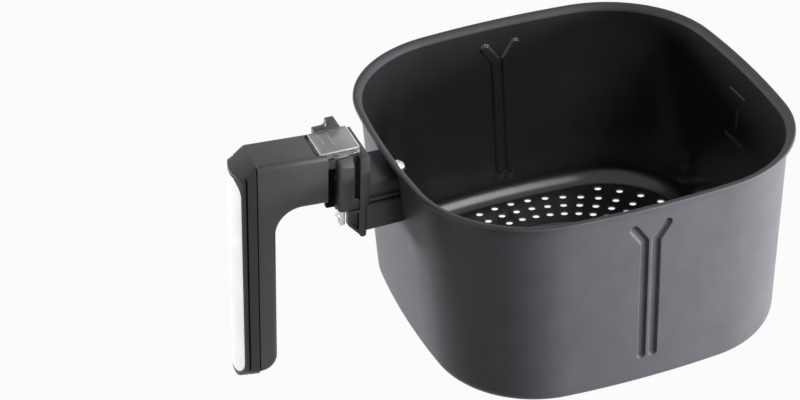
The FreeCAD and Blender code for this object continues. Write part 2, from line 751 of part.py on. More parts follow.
def handle_body():
    solid = side_prism(body_outline(0), -ARM_HALF, ARM_HALF)
    flank = []
    for edge in solid.Edges:
        box = edge.BoundBox
        at_end = box.YMax < PARTING_Y + NEAR or box.YMin > ARM_END - NEAR
        if box.XLength < FLAT and not at_end:
            flank.append(edge)
    solid = solid.makeFillet(GRIP_EDGE_R, flank)
    room = ARM_HALF - BODY_WALL
    hollow = side_prism(body_outline(BODY_WALL), -room, room)
    keep = block(-BIG, BIG, SPIGOT_END - BULKHEAD_T, BIG, -BIG, BIG)
    body = solid.cut(hollow.cut(keep))
    body = body.cut(block(-SPIGOT_HALF, SPIGOT_HALF, SPIGOT_END, 0, SPIGOT_FLOOR, BIG))
    for z in SHELL_SCREW_ZS:
        boss = rod(BOSS_R, V(0, PARTING_Y, z), GRIP_REAR - BODY_WALL / 2 - PARTING_Y)
        body = body.fuse(boss).cut(shell_screw(z))
    for side in (1, -1):
        body = body.cut(arm_screw(side * ARM_SCREW_X))
    notch_half = GUARD_HALF + NOTCH_GAP
    notch = block(-notch_half, notch_half, GUARD_FRONT - NOTCH_GAP, 0, DECK_RISE, DECK_RISE + BIG)
    return to_handle(body.removeSplitter()).cut(to_deck(notch))


def crowned_bar(half, side_y, back_y, z0, z1):
    """Upright bar whose front is an arc across the grip, SHELL_CROWN high over the shell's width."""
    radius = (ARM_HALF ** 2 + SHELL_CROWN ** 2) / (2 * SHELL_CROWN)
    rise = SHELL_CROWN - radius + math.sqrt(radius ** 2 - half ** 2)
    left = V(-half, side_y - rise, z0)
    right = V(half, side_y - rise, z0)
    front = Part.Arc(left, V(0, side_y - SHELL_CROWN, z0), right).toShape()
    rest = Part.makePolygon([right, V(half, back_y, z0), V(-half, back_y, z0), left])
    return Part.Face(Part.Wire([front] + rest.Edges)).extrude(V(0, 0, z1 - z0))


def front_shell():
    bar = crowned_bar(ARM_HALF, SHELL_FRONT, PARTING_Y, GRIP_FOOT, ARM_TOP)
    corners = []
    for edge in bar.Edges:
        box = edge.BoundBox
        if box.XLength < FLAT and box.ZLength > BIG and box.YMax < SHELL_FRONT + NEAR:
            corners.append(edge)
    front = SHELL_FRONT - SHELL_CROWN
    outline = [
        (PARTING_Y, ARM_TOP, 0),
        (front, ARM_TOP - SHELL_TOP_CUT, 0),
        (front, GRIP_FOOT, SHELL_FOOT_R),
        (PARTING_Y, GRIP_FOOT, 0),
    ]
    shell = bar.makeFillet(SHELL_CORNER_R, corners).common(side_prism(outline, -BIG, BIG))
    room = ARM_HALF - BODY_WALL
    pocket = block(
        -room, room, SHELL_FRONT + SHELL_WALL, PARTING_Y,
        GRIP_FOOT + BODY_WALL, ARM_TOP - SHELL_TOP_CUT - BODY_WALL,
    )
    for z in SHELL_SCREW_ZS:
        pocket = pocket.cut(rod(BOSS_R, V(0, front, z), BIG))
    half = ARM_HALF / 2
    top = ARM_TOP - BODY_WALL - TRIM_FIT
    tongue = block(-half, half, PARTING_Y, PARTING_Y + BODY_WALL, top - BODY_WALL, top)
    shell = shell.cut(pocket).cut(trim_blank(TRIM_FIT)).fuse(tongue)
    for z in SHELL_SCREW_ZS:
        shell = shell.cut(screw_room(z))
    return to_handle(shell.removeSplitter())


def screw_room(z):
    front = SHELL_FRONT - SHELL_CROWN
    head = rod(SCREW_HEAD_R + BOLT_GAP, V(0, front, z), SHELL_SCREW_SEAT - front)
    return head.fuse(rod(SCREW_R, V(0, front, z), BIG))


def trim_blank(gap):
    """The strip, or with a gap the channel that it lies in."""
    top = ARM_TOP - TRIM_TOP_GAP + gap
    foot = GRIP_FOOT + TRIM_FOOT_GAP - gap
    outer = crowned_bar(ARM_HALF, SHELL_FRONT - TRIM_PROUD, PARTING_Y, foot, top)
    inner = crowned_bar(ARM_HALF, SHELL_FRONT + TRIM_SEAT, PARTING_Y, foot, top)
    outline = front_prism(oblong(TRIM_HALF + gap, foot, top, TRIM_CORNER_R), -2 * BIG, PARTING_Y)
    return outer.cut(inner).common(outline)


def trim_strip():
    return to_handle(trim_blank(0))


def slide_guard():
    low = DECK_RISE + RUN_GAP
    top = DECK_RISE + GUARD_H
    plan = [
        (-GUARD_HALF, GUARD_FRONT, GUARD_CORNER_R), (GUARD_HALF, GUARD_FRONT, GUARD_CORNER_R),
        (GUARD_HALF, GUARD_BACK, GUARD_CORNER_R / 2), (-GUARD_HALF, GUARD_BACK, GUARD_CORNER_R / 2),
    ]
    inner_half = GUARD_HALF - GUARD_WALL
    side = [
        (GUARD_FRONT, low, 0), (GUARD_BACK, low, 0),
        (GUARD_BACK, top, GUARD_EDGE_R), (GUARD_FRONT + GUARD_NOSE, top, GUARD_NOSE_R),
        (GUARD_FRONT, low + GUARD_LIP, 0),
    ]
    inside = [
        (GUARD_FRONT + GUARD_WALL, DECK_RISE, 0), (GUARD_BACK - GUARD_WALL, DECK_RISE, 0),
        (GUARD_BACK - GUARD_WALL, top - GUARD_TOP, 0),
        (GUARD_FRONT + GUARD_NOSE + GUARD_WALL / 2, top - GUARD_TOP, 0),
        (GUARD_FRONT + GUARD_WALL, low + GUARD_LIP, 0),
    ]
    guard = plan_prism(plan, low, top).common(side_prism(side, -BIG, BIG))
    guard = guard.cut(side_prism(inside, -inner_half, inner_half))
    lug = block(
        GUARD_HALF - GUARD_WALL / 2, GUARD_HALF + GUARD_LUG_OUT,
        GUARD_LUG_FRONT, GUARD_LUG_FRONT + GUARD_LUG_L, low, low + GUARD_LUG_H,
    )
    back = RUNNER_FRONT + RUNNER_L
    foot = DECK_RISE - RUNNER_DROP
    runner = joined([
        block(inner_half, GUARD_HALF, RUNNER_FRONT, back, foot, low + GUARD_TOP),
        block(inner_half - RUNNER_LIP, GUARD_HALF, RUNNER_FRONT, back, foot, foot + RUNNER_LIP_H),
    ])
    return to_deck(joined([guard, lug, runner, mirrored(runner)]))


def release_button():
    top = DECK_RISE - BUTTON_SINK
    cap = block(-BUTTON_HALF, BUTTON_HALF, BUTTON_FRONT, BUTTON_BACK, top - BUTTON_H, top)
    crown = [e for e in cap.Edges if e.BoundBox.ZMin > top - FLAT]
    cap = cap.makeFillet(BUTTON_EDGE_R, crown)
    tip = PUSH_PAD_Z + PUSH_GAP
    back = STEM_FRONT + STEM_T
    stem = side_prism(
        [
            (STEM_FRONT, tip, STEM_TIP_R), (back, tip, STEM_TIP_R),
            (back, top - BUTTON_H, 0), (STEM_FRONT, top - BUTTON_H, 0),
        ],
        -STEM_HALF, STEM_HALF,
    )
    return to_deck(joined([cap, stem]))


def button_spring():
    """A pair of springs between the shelf and the button, on both sides of the stem."""
    length = DECK_RISE - BUTTON_SINK - BUTTON_H - SHELF_Z
    foot = V(SPRING_X, (BUTTON_FRONT + BUTTON_BACK) / 2, SHELF_Z)
    sleeve = rod(SPRING_R, foot, length, UP).cut(rod(SPRING_R - SPRING_WIRE, foot, length, UP))
    return to_deck(Part.makeCompound([sleeve, mirrored(sleeve)]))


def latch_hook():
    hub = rod(HUB_R, V(-HOOK_HALF, PIVOT_PIN_Y, PIVOT_PIN_Z), 2 * HOOK_HALF, V(1, 0, 0))
    arm = side_prism(
        [
            (PIVOT_PIN_Y, PUSH_PAD_Z, 0),
            (PUSH_PAD_END, PUSH_PAD_Z, HOOK_EDGE_R),
            (PUSH_PAD_END, PUSH_PAD_Z - PUSH_ARM_T, HOOK_EDGE_R),
            (PIVOT_PIN_Y, PUSH_PAD_Z - PUSH_ARM_T - PUSH_ARM_TAPER, 0),
        ],
        -HOOK_HALF, HOOK_HALF,
    )
    front = PIVOT_PIN_Y - HOOK_T
    nose = HOOK_FOOT_Z + HOOK_NOSE_H
    leg = side_prism(
        [
            (PIVOT_PIN_Y + HOOK_ROOT_HALF, PIVOT_PIN_Z, 0),
            (PIVOT_PIN_Y - HOOK_ROOT_HALF, PIVOT_PIN_Z, 0),
            (front, nose, HOOK_EDGE_R),
            (front - HOOK_NOSE, nose - HOOK_NOSE_SLOPE, HOOK_TIP_R),
            (front, HOOK_FOOT_Z, HOOK_EDGE_R),
            (PIVOT_PIN_Y, HOOK_FOOT_Z, HOOK_EDGE_R),
        ],
        -HOOK_HALF, HOOK_HALF,
    )
    bore = rod(PIN_R + PIN_BORE_GAP, V(-BIG, PIVOT_PIN_Y, PIVOT_PIN_Z), 2 * BIG, V(1, 0, 0))
    return to_deck(joined([hub, arm, leg]).cut(bore))


def latch_pin():
    return to_deck(rod(PIN_R, V(-PIN_HALF, PIVOT_PIN_Y, PIVOT_PIN_Z), 2 * PIN_HALF, V(1, 0, 0)))


def latch_spring():
    """Two coils round the pin, one each side of the hook."""
    start = V(HOOK_HALF + RUN_GAP, PIVOT_PIN_Y, PIVOT_PIN_Z)
    length = CHAMBER_HALF - HOOK_HALF - 2 * RUN_GAP
    coil = rod(COIL_R, start, length, V(1, 0, 0)).cut(rod(COIL_BORE_R, start, length, V(1, 0, 0)))
    return to_deck(Part.makeCompound([coil, mirrored(coil)]))


NODES = {
    "basket_shell": basket_shell,
    "bracket_gasket": bracket_gasket,
    "handle_bracket": handle_bracket,
    "mounting_plate": mounting_plate,
    "basket_bolts": basket_bolts,
    "nut_washers": nut_washers,
    "dome_nuts": dome_nuts,
    "neck_housing": neck_housing,
    "plate_screws": lambda: screw_pair(lambda side: plate_screw(side * PLATE_SCREW_X)),
    "handle_body": handle_body,
    "arm_screws": lambda: screw_pair(lambda side: arm_screw(side * ARM_SCREW_X)),
    "front_shell": front_shell,
    "shell_screws": lambda: to_handle(Part.makeCompound([shell_screw(z) for z in SHELL_SCREW_ZS])),
    "trim_strip": trim_strip,
    "slide_guard": slide_guard,
    "release_button": release_button,
    "button_spring": button_spring,
    "latch_hook": latch_hook,
    "latch_pin": latch_pin,
    "latch_spring": latch_spring,
}

os.makedirs("parts", exist_ok=True)
for name, maker in NODES.items():
    shape = maker()
    solids = shape.Solids
    if not solids or not all(solid.isValid() and solid.Volume > 0 for solid in solids):
        raise ValueError("no sound solid in " + name)
    print(name, len(solids), "solids", round(sum(s.Volume for s in solids)), "mm3")
    result = solids[0] if len(solids) == 1 else Part.makeCompound(solids)
    result.exportStep("parts/" + name + ".step")
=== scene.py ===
import json
import math

import bmesh
import bpy
from bpy.props import FloatProperty, FloatVectorProperty, IntProperty, PointerProperty
from mathutils import Matrix, Vector


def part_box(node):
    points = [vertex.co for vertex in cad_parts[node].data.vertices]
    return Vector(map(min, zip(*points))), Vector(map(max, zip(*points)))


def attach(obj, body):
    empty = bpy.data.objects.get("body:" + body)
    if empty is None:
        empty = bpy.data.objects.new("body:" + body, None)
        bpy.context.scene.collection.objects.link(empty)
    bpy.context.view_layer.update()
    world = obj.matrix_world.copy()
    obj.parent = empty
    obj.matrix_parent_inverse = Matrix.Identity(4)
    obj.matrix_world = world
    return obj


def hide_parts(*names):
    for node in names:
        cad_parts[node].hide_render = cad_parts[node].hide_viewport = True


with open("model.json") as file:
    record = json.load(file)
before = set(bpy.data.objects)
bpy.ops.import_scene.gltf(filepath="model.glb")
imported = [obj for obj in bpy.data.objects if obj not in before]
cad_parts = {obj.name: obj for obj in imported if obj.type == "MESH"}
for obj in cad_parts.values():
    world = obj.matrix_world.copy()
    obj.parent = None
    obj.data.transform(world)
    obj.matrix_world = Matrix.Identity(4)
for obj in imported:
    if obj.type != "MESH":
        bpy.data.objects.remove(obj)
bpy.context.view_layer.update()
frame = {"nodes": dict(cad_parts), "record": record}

bl_info = {
    "name": "Fry Basket Finisher",
    "version": (1, 0, 0),
    "blender": (4, 5, 0),
    "location": "View3D > Sidebar > Fry Basket",
    "description": "Dresses the packed fry basket with its coated wall, base, mouldings and stage",
    "category": "Object",
}

MM = 0.001
WELD = 1e-6                    # metres; CAD triangles share corners closer than this
# Turns sharper than these stay sharp when a piece is smoothed.
WALL_SHARP = math.radians(50)
BASE_SHARP = math.radians(45)
MOULDING_SHARP = math.radians(40)
MARK_SHARP = math.radians(60)
# Edges that turn more than these are bevelled.
FITTING_BEVEL = math.radians(32)
GRIP_BEVEL = math.radians(50)
MARK_BEVEL = math.radians(30)
BEVEL_STEPS = 2


def linear(code):
    """Linear RGBA of an sRGB hex colour."""
    channels = []
    for i in (1, 3, 5):
        c = int(code[i:i + 2], 16) / 255
        channels.append(c / 12.92 if c <= 0.04045 else ((c + 0.055) / 1.055) ** 2.4)
    return (*channels, 1.0)


def length(name, description, millimetres):
    return FloatProperty(
        name=name, description=description, default=millimetres * MM, min=0.0,
        unit="LENGTH", precision=5,
    )


def colour(name, description, code):
    return FloatVectorProperty(
        name=name, description=description, default=linear(code), size=4, min=0.0, max=1.0,
        subtype="COLOR",
    )


def amount(name, description, value):
    return FloatProperty(
        name=name, description=description, default=value, min=0.0, subtype="FACTOR"
    )


class BasketSizes(bpy.types.PropertyGroup):
    """Sizes of the pressed basket: those of its solid, but for the inside fillet and the guides."""

    rim_half: length("Rim half width", "Half width over the lip at the middle of a side", 112.0)
    side_radius: length("Side bow", "Radius of each bowed side at the lip edge", 509.0)
    corner_radius: length("Corner radius", "Corner radius at the lip edge", 69.6)
    height: length("Height", "Base to rim", 121.6)
    wall: length("Sheet", "Thickness of the coated sheet", 1.2)
    taper: length("Taper", "How far each wall leans in from rim to base", 4.6)
    lip_width: length("Lip width", "Lip beyond the outside of the wall", 3.9)
    lip_height: length("Lip thickness", "Thickness of the rolled lip", 2.0)
    base_fillet: length("Base fillet", "Outside radius from wall to base", 9.0)
    fillet_rise: length("Fillet rise", "Height of the inside fillet above the base", 10.0)
    flare: length("Rim flare", "Radius from the inside of the wall to the rim", 3.8)
    hole: length("Hole diameter", "Diameter of a hole in the base", 4.6)
    bead_radius: length("Bead ring radius", "Middle of the pressed ring in the base", 61.0)
    bead_width: length("Bead ring width", "Width of the pressed ring in the base", 8.0)
    bead_height: length("Bead ring height", "Height of the pressed ring in the base", 2.2)
    guide_depth: length("Guide depth", "Depth of the guides at the outside of the wall", 1.8)
    guide_height: length("Guide height", "Height of the guides at the inside of the wall", 1.3)
    guide_half: length("Guide half width", "Half width of a guide at the outside", 2.6)
    hole_sides: IntProperty(
        name="Hole sides", description="Segments of each round hole", default=20, min=6
    )


class GripSizes(bpy.types.PropertyGroup):
    """Sizes of the front of the grip, in the leaning frame of the handle."""

    half: length("Half width", "Half width of the grip", 14.3)
    depth: length("Shell depth", "Parting line to the front edge of the shell", 7.6)
    crown: length("Crown", "How far the front bulges beyond its edges", 3.9)
    top: length("Top", "Height of the shell above the handle's reference point", 35.0)
    top_slope: length("Top slope", "Fall of the top from the parting line to the front", 6.4)
    top_radius: length("Top edge", "Radius along the top edges", 3.2)
    foot: length("Foot", "Depth of the foot below the reference point at the front", 102.7)
    foot_rise: length("Foot rise", "How much higher the foot is at the parting line", 3.4)
    foot_radius: length("Foot corner", "Corner radius of the foot at the front", 11.0)
    heel_radius: length("Heel edge", "Corner radius of the foot at the parting line", 3.4)
    groove: length("Groove", "Width and depth of the shadow lines", 1.1)
    trim_half: length("Trim half width", "Half width of the painted strip", 12.2)
    trim_radius: length("Trim corner", "Corner radius of the painted strip", 9.0)
    trim_top: length("Trim top gap", "Top of the shell to the strip", 9.0)
    trim_foot: length("Trim foot gap", "Foot of the shell to the strip", 3.0)
    trim_proud: length("Trim height", "How far the strip stands proud", 0.2)


class FinishColours(bpy.types.PropertyGroup):
    """Colours of the finishes, with painted shade on the rim and in the neck's recesses, and a
    painted highlight on the guard's edge.
    """

    coat: colour("Outside coat", "Sprayed coat on the outside of the wall", "#6f7075")
    inside: colour("Inside coat", "Nonstick coat on the inside and the base", "#363638")
    # The rim colour is painted shade: the coat drawn darker where it rolls over the rim.
    rim: colour("Rim coat", "Nonstick coat on the rolled rim", "#5a5b5e")
    plastic: colour("Moulding", "Satin moulded handle parts", "#48484a")
    # The recess colour is painted shade: near black on the floors of the neck's recesses.
    recess: colour("Recess", "Coarse floors of the recesses in the neck", "#141415")
    gloss: colour("Gloss shell", "Polished front shell of the grip", "#0d0d0e")
    silver: colour("Trim", "Painted strip on the grip", "#f6f6f7")
    clear: colour("Guard", "Clear sliding guard", "#f0f2f3")
    # The guard edge colour is a painted highlight, with a faint glow of its own.
    edge: colour("Guard edge", "Edge of the clear sliding guard", "#f2f4f5")
    steel: colour("Steel", "Bright nuts, screws and latch", "#c9cacb")
    rubber: colour("Gasket", "Moulded silicone gasket", "#141414")
    button: colour("Button", "Release button", "#2e2e30")
    floor: colour("Floor", "Plain pale floor", "#8c8c8c")


class StageLevels(bpy.types.PropertyGroup):
    """Levels of the studio light."""

    sky: amount("Sky", "Level of the surroundings for soft light", 0.03)
    right_lamp: amount("Right lamp", "Watts of the soft lamp on the right", 29.5)
    left_lamp: amount("Left lamp", "Watts of the soft lamp on the left", 17.0)
    top_lamp: amount("Top lamp", "Watts of the soft lamp above", 5.2)


def sizes():
    return bpy.context.scene.fry_basket_sizes


def grip():
    return bpy.context.scene.fry_basket_grip


def colours():
    return bpy.context.scene.fry_basket_colours


def levels():
    return bpy.context.scene.fry_basket_levels


def add_node(tree, kind, inputs=None, **settings):
    """Add a node with its settings; an input is a value, or a socket or list of sockets to link."""
    made = tree.nodes.new(kind)
    for key, value in settings.items():
        setattr(made, key, value)
    for key, given in (inputs or {}).items():
        for value in given if isinstance(given, list) else [given]:
            if isinstance(value, bpy.types.NodeSocket):
                tree.links.new(value, made.inputs[key])
            else:
                made.inputs[key].default_value = value
    return made


def empty_tree(owner):
    """Cleared node tree of a material or a world."""
    owner.use_nodes = True
    owner.node_tree.nodes.clear()
    return owner.node_tree


def per_metre(millimetres):
    """Texture scale at which one feature is that wide."""
    return 1.0 / (millimetres * MM)


# Most of the real grains are too fine to show in the render, so they are drawn coarser.
CLOUD_MM = 18.0                # width of the faint clouds in each finish
NOISE_RANGE = (0.3, 0.7)       # nearly all values of a noise texture lie between these
SMOOTHEST = 0.02               # lowest roughness of a finish
RELIEF_STRENGTH = 0.6


def surface(name, base, rough, grain_mm, relief_mm, shade=0.06, rough_spread=0.05, **constants):
    """Principled surface: a fine grain in its relief and gloss, and a faint cloud in its shade."""
    material = bpy.data.materials.get(name)
    if material:
        return material
    material = bpy.data.materials.new(name)
    tree = empty_tree(material)
    place = add_node(tree, "ShaderNodeTexCoord").outputs["Object"]
    grain = add_node(tree, "ShaderNodeTexNoise", {
        "Vector": place, "Scale": per_metre(grain_mm), "Detail": 3.0, "Roughness": 0.6,
    }).outputs["Fac"]
    cloud = add_node(tree, "ShaderNodeTexNoise", {
        "Vector": place, "Scale": per_metre(CLOUD_MM), "Detail": 2.0, "Roughness": 0.5,
    }).outputs["Fac"]
    ramp = add_node(tree, "ShaderNodeValToRGB", {"Fac": cloud})
    stops = zip(ramp.color_ramp.elements, NOISE_RANGE, (1 - shade, 1 + shade))
    for stop, position, change in stops:
        stop.color = [min(1.0, c * change) for c in base[:3]] + [1.0]
        stop.position = position
    gloss = add_node(tree, "ShaderNodeMapRange", {
        "Value": grain, "From Min": NOISE_RANGE[0], "From Max": NOISE_RANGE[1],
        "To Min": max(SMOOTHEST, rough - rough_spread), "To Max": rough + rough_spread,
    }).outputs["Result"]
    relief = add_node(tree, "ShaderNodeBump", {
        "Height": grain, "Strength": RELIEF_STRENGTH, "Distance": relief_mm * MM,
    }).outputs["Normal"]
    shader = add_node(tree, "ShaderNodeBsdfPrincipled", {
        "Base Color": ramp.outputs["Color"], "Roughness": gloss, "Normal": relief, **constants,
    })
    add_node(tree, "ShaderNodeOutputMaterial", {"Surface": shader.outputs["BSDF"]})
    return material


def coat_outside():
    # Silicone paint sprayed on pressed steel: satin grey, fine orange peel, broad soft shading.
    # The real grain is about 0.3 mm; it is drawn at 1.2 mm so that it shows.
    return surface(
        "Steel_painted_satin", colours().coat, rough=0.45, grain_mm=1.2, relief_mm=0.04,
        **{"Specular IOR Level": 0.12},
    )


def coat_inside():
    # Nonstick coat baked on steel: near black and smoother, so folds carry a clear soft highlight.
    # Its grain is drawn at 1.2 mm for the same reason.
    return surface(
        "Steel_nonstick_baked", colours().inside, rough=0.24, grain_mm=1.2, relief_mm=0.003,
        rough_spread=0.02,
    )


def coat_rim_with_painted_shade():
    # The coat where it wraps the rolled rim, with painted shade: drawn darker than the outside coat
    # and paler than the inside coat, duller, with only a faint sheen.
    return surface(
        "Steel_nonstick_rolled", colours().rim, rough=0.5, grain_mm=1.2, relief_mm=0.01,
        **{"Specular IOR Level": 0.15},
    )


def black_moulding():
    # Glass-filled nylon from a spark-eroded mould: dark, fine matt grain, soft edge highlights.
    return surface(
        "Nylon_moulded_satin", colours().plastic, rough=0.45, grain_mm=0.7, relief_mm=0.04
    )


def recess_painted_shade():
    # Painted shade on the floors deep in the neck's recesses: the same nylon drawn near black,
    # rough and dull.
    return surface(
        "Nylon_moulded_coarse", colours().recess, rough=0.8, grain_mm=0.9, relief_mm=0.06,
        **{"Specular IOR Level": 0.1},
    )


def gloss_moulding():
    # ABS from a polished mould: near black with clear, sharp reflections.
    return surface(
        "ABS_moulded_polished", colours().gloss, rough=0.09, grain_mm=6.0, relief_mm=0.01,
        rough_spread=0.02,
    )


def silver_paint():
    # Metallic paint on ABS: pale silver with a soft sheen and a fine flake.
    return surface(
        "ABS_painted_silver", colours().silver, rough=0.32, grain_mm=0.8, relief_mm=0.01,
        Metallic=0.75,
    )


def clear_moulding():
    # Polycarbonate from a polished mould: clear, with bright edges.
    return surface(
        "Polycarbonate_moulded_clear", colours().clear, rough=0.1, grain_mm=2.0, relief_mm=0.01,
        shade=0.01, **{"Transmission Weight": 0.94, "IOR": 1.58},
    )


def frosted_moulding():
    # The same polycarbonate from a blasted mould face: a milky skin that hides what is under it.
    return surface(
        "Polycarbonate_moulded_frosted", colours().clear, rough=0.4, grain_mm=1.2, relief_mm=0.02,
        shade=0.02, **{"Transmission Weight": 0.78, "IOR": 1.58},
    )


def edge_painted_highlight():
    # Painted highlight on the moulding's rounded edge: a near-opaque white that glows faintly of
    # its own, so the edge looks white.
    edge = colours().edge
    return surface(
        "Polycarbonate_moulded_edge", edge, rough=0.2, grain_mm=1.2, relief_mm=0.01, shade=0.02,
        **{
            "Transmission Weight": 0.15, "IOR": 1.58,
            "Emission Color": edge, "Emission Strength": 0.3,
        },
    )


def bright_steel():
    # Nickel-plated steel, barrel polished: bright with small soft reflections.
    return surface(
        "Steel_nickel_plated", colours().steel, rough=0.24, grain_mm=0.8, relief_mm=0.01,
        Metallic=1.0,
    )


def gasket_rubber():
    # Moulded silicone: black, dead matt.
    return surface(
        "Silicone_moulded_matt", colours().rubber, rough=0.75, grain_mm=0.9, relief_mm=0.03
    )


def button_moulding():
    # Acetal from a fine mould: smooth and a little waxy.
    return surface(
        "Acetal_moulded_smooth", colours().button, rough=0.3, grain_mm=1.5, relief_mm=0.01
    )


FINISHED_NODES = {
    gasket_rubber: ("bracket_gasket",),
    black_moulding: ("handle_bracket", "mounting_plate", "neck_housing", "handle_body"),
    gloss_moulding: ("front_shell",),
    silver_paint: ("trim_strip",),
    clear_moulding: ("slide_guard",),
    button_moulding: ("release_button",),
    bright_steel: (
        "basket_bolts", "nut_washers", "dome_nuts", "plate_screws", "arm_screws", "shell_screws",
        "button_spring", "latch_hook", "latch_pin", "latch_spring",
    ),
}
# Mouldings and fittings that are seen, and how wide their edges are softened, in millimetres.
SOFT_EDGES = {
    "handle_bracket": 0.35, "mounting_plate": 0.35, "neck_housing": 0.35, "handle_body": 0.4,
    "slide_guard": 0.45, "release_button": 0.25, "latch_hook": 0.3, "dome_nuts": 0.2,
    "nut_washers": 0.15,
}
SLOT_OF = {
    black_moulding: "black_plastic", gloss_moulding: "gloss_black", silver_paint: "silver_trim",
    clear_moulding: "clear_plastic", button_moulding: "button_plastic", bright_steel: "steel",
    gasket_rubber: "seal_rubber",
}


def body_of(node):
    for body, members in frame["record"]["behaviour"]["bodies"].items():
        if node in members:
            return body
    raise ValueError("no body holds " + node)


def new_object(name, mesh):
    made = bpy.data.objects.new(name, mesh)
    bpy.context.scene.collection.objects.link(made)
    return made


def mesh_of(name, bm, material, recalc=True):
    if recalc:
        bmesh.ops.recalc_face_normals(bm, faces=bm.faces)
    mesh = bpy.data.meshes.new(name)
    bm.to_mesh(mesh)
    bm.free()
    mesh.materials.append(material)
    return mesh


def smooth(mesh, sharp):
    """Smooth a mesh but for the turns that are sharper than an angle."""
    mesh.polygons.foreach_set("use_smooth", [True] * len(mesh.polygons))
    mesh.set_sharp_from_angle(angle=sharp)


def bevel(obj, width_mm, sharper_than):
    """Bevel the edges of an object that turn more than an angle."""
    edge = obj.modifiers.new("edges", "BEVEL")
    edge.width = width_mm * MM
    edge.segments = BEVEL_STEPS
    edge.limit_method = "ANGLE"
    edge.angle_limit = sharper_than


def flatten_modifiers(obj):
    """Turn the evaluated object into a plain mesh and drop its modifiers."""
    graph = bpy.context.evaluated_depsgraph_get()
    mesh = bpy.data.meshes.new_from_object(obj.evaluated_get(graph), depsgraph=graph)
    obj.modifiers.clear()
    obj.data = mesh
    return mesh


def settle(obj, body, slot, *nodes):
    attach(obj, body)
    if nodes:
        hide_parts(*nodes)


def strip(bm, a, b):
    """Join two open rows of vertices with quads."""
    for i in range(len(a) - 1):
        bm.faces.new((a[i], a[i + 1], b[i + 1], b[i]))


def bridge(bm, rings, closed=False):
    """Join each ring of vertices to the next with quads, and the last to the first if closed."""
    faces = []
    for a, b in zip(rings, rings[1:] + rings[:1] if closed else rings[1:]):
        for k in range(len(a)):
            up = (k + 1) % len(a)
            faces.append(bm.faces.new((a[k], b[k], b[up], a[up])))
    return faces


def bridge_capped(bm, rings):
    bridge(bm, rings)
    bm.faces.new(rings[0])
    bm.faces.new(rings[-1])


def share_of(value, start, end):
    """How far a value is from start to end, held between 0 and 1."""
    return max(0.0, min(1.0, (value - start) / (end - start)))


def spread(start, end, steps):
    """Even steps from start up to the last one before end."""
    return [start + (end - start) * i / steps for i in range(steps)]


SIDE_STEPS = 11                # steps from the middle of a side, or from its guide, to a corner
GUIDE_STEPS = 84               # steps across a guide
CORNER_STEPS = 28
BASE_STEPS = 14                # steps round the outside of the base fillet
FILLET_STEPS = 16              # steps round its inside
FILLET_POWER = 1.35            # above 1 the inside fillet is flatter in its middle than an arc
LIP_ROUNDS = ((0.5, 4), (0.7, 4), (0.9, 5))   # mm and steps: under the lip, its low and high edge
RIM_STEPS = 10                 # steps round the flare from the wall to the rim
RIM_BEFORE = 3                 # steps round the lip's outer edge that have the rim's coat with its painted shade
GUIDE_REACH = 16.5             # mm each side of the middle that a guide takes up
GUIDE_PATH = ((3.4, 21.8), (3.4, 97.6), (9.7, 106.8))   # mm, one bead: foot, bend, tip
GUIDE_ROWS = ((18.6, 0.6, 10), (27.0, 6.0, 12), (94.6, 0.45, 43))   # mm up: first, step, count
GUIDE_FLANKS = (1.05, 1.6)     # mm, width of its flanks outside and inside of the wall
GUIDE_INSIDE = 0.7             # share of the sheet by which a guide's half is wider inside
GUIDE_SHIFTS = (-1.0, 1.3)     # mm that the +X and the -X guide lie off the middle
FAR_GUIDE_DROP = 1.0           # mm that the tips of the -X guide are lower
GUIDE_WALL = 0.99              # a wall has a guide where its direction is this near to X


def corner_centre(s):
    bow = s.side_radius - s.rim_half
    reach = s.side_radius - s.corner_radius
    return (math.sqrt(2 * reach * reach - bow * bow) - bow) / 2


def plan_columns(s, guide_steps):
    """Columns round the basket: arc centre, radius at the lip edge and direction, anticlockwise."""
    centre = corner_centre(s)
    half = math.atan2(centre, centre + s.side_radius - s.rim_half)
    guide = GUIDE_REACH * MM / s.side_radius
    side_centre = Vector((s.rim_half - s.side_radius, 0))
    columns = []
    for quarter in range(4):
        turn = Matrix.Rotation(math.pi / 2 * quarter, 2)
        if quarter % 2 == 0 and guide_steps:
            angles = spread(-half, -guide, SIDE_STEPS) + spread(-guide, guide, guide_steps)
            angles += spread(guide, half, SIDE_STEPS)
        else:
            angles = spread(-half, half, 2 * SIDE_STEPS)
        arcs = [(side_centre, s.side_radius, angle) for angle in angles]
        for angle in spread(half, math.pi / 2 - half, CORNER_STEPS):
            arcs.append((Vector((centre, centre)), s.corner_radius, angle))
        for middle, radius, angle in arcs:
            direction = Vector((math.cos(angle), math.sin(angle)))
            columns.append((turn @ middle, radius, turn @ direction))
    return columns


def guide_sink(s, across, z, far, inside):
    """How far a wall is pressed in by the two beads of its guide; the -X wall is the far one."""
    half, flank, depth = s.guide_half, GUIDE_FLANKS[0], s.guide_depth
    if inside:
        half += GUIDE_INSIDE * s.wall
        flank, depth = GUIDE_FLANKS[1], s.guide_height
    across -= GUIDE_SHIFTS[far] * MM
    if far:
        z += FAR_GUIDE_DROP * MM * share_of(z / MM, GUIDE_PATH[0][1], GUIDE_PATH[-1][1])
    point = Vector((abs(across) / MM, z / MM))
    gaps = []
    for a, b in zip(GUIDE_PATH, GUIDE_PATH[1:]):
        start = Vector(a)
        along = Vector(b) - start
        share = share_of((point - start).dot(along), 0, along.length_squared)
        gaps.append((point - start - along * share).length)
    t = share_of(half / MM - min(gaps), 0, flank)
    return depth * t * t * (3 - 2 * t)


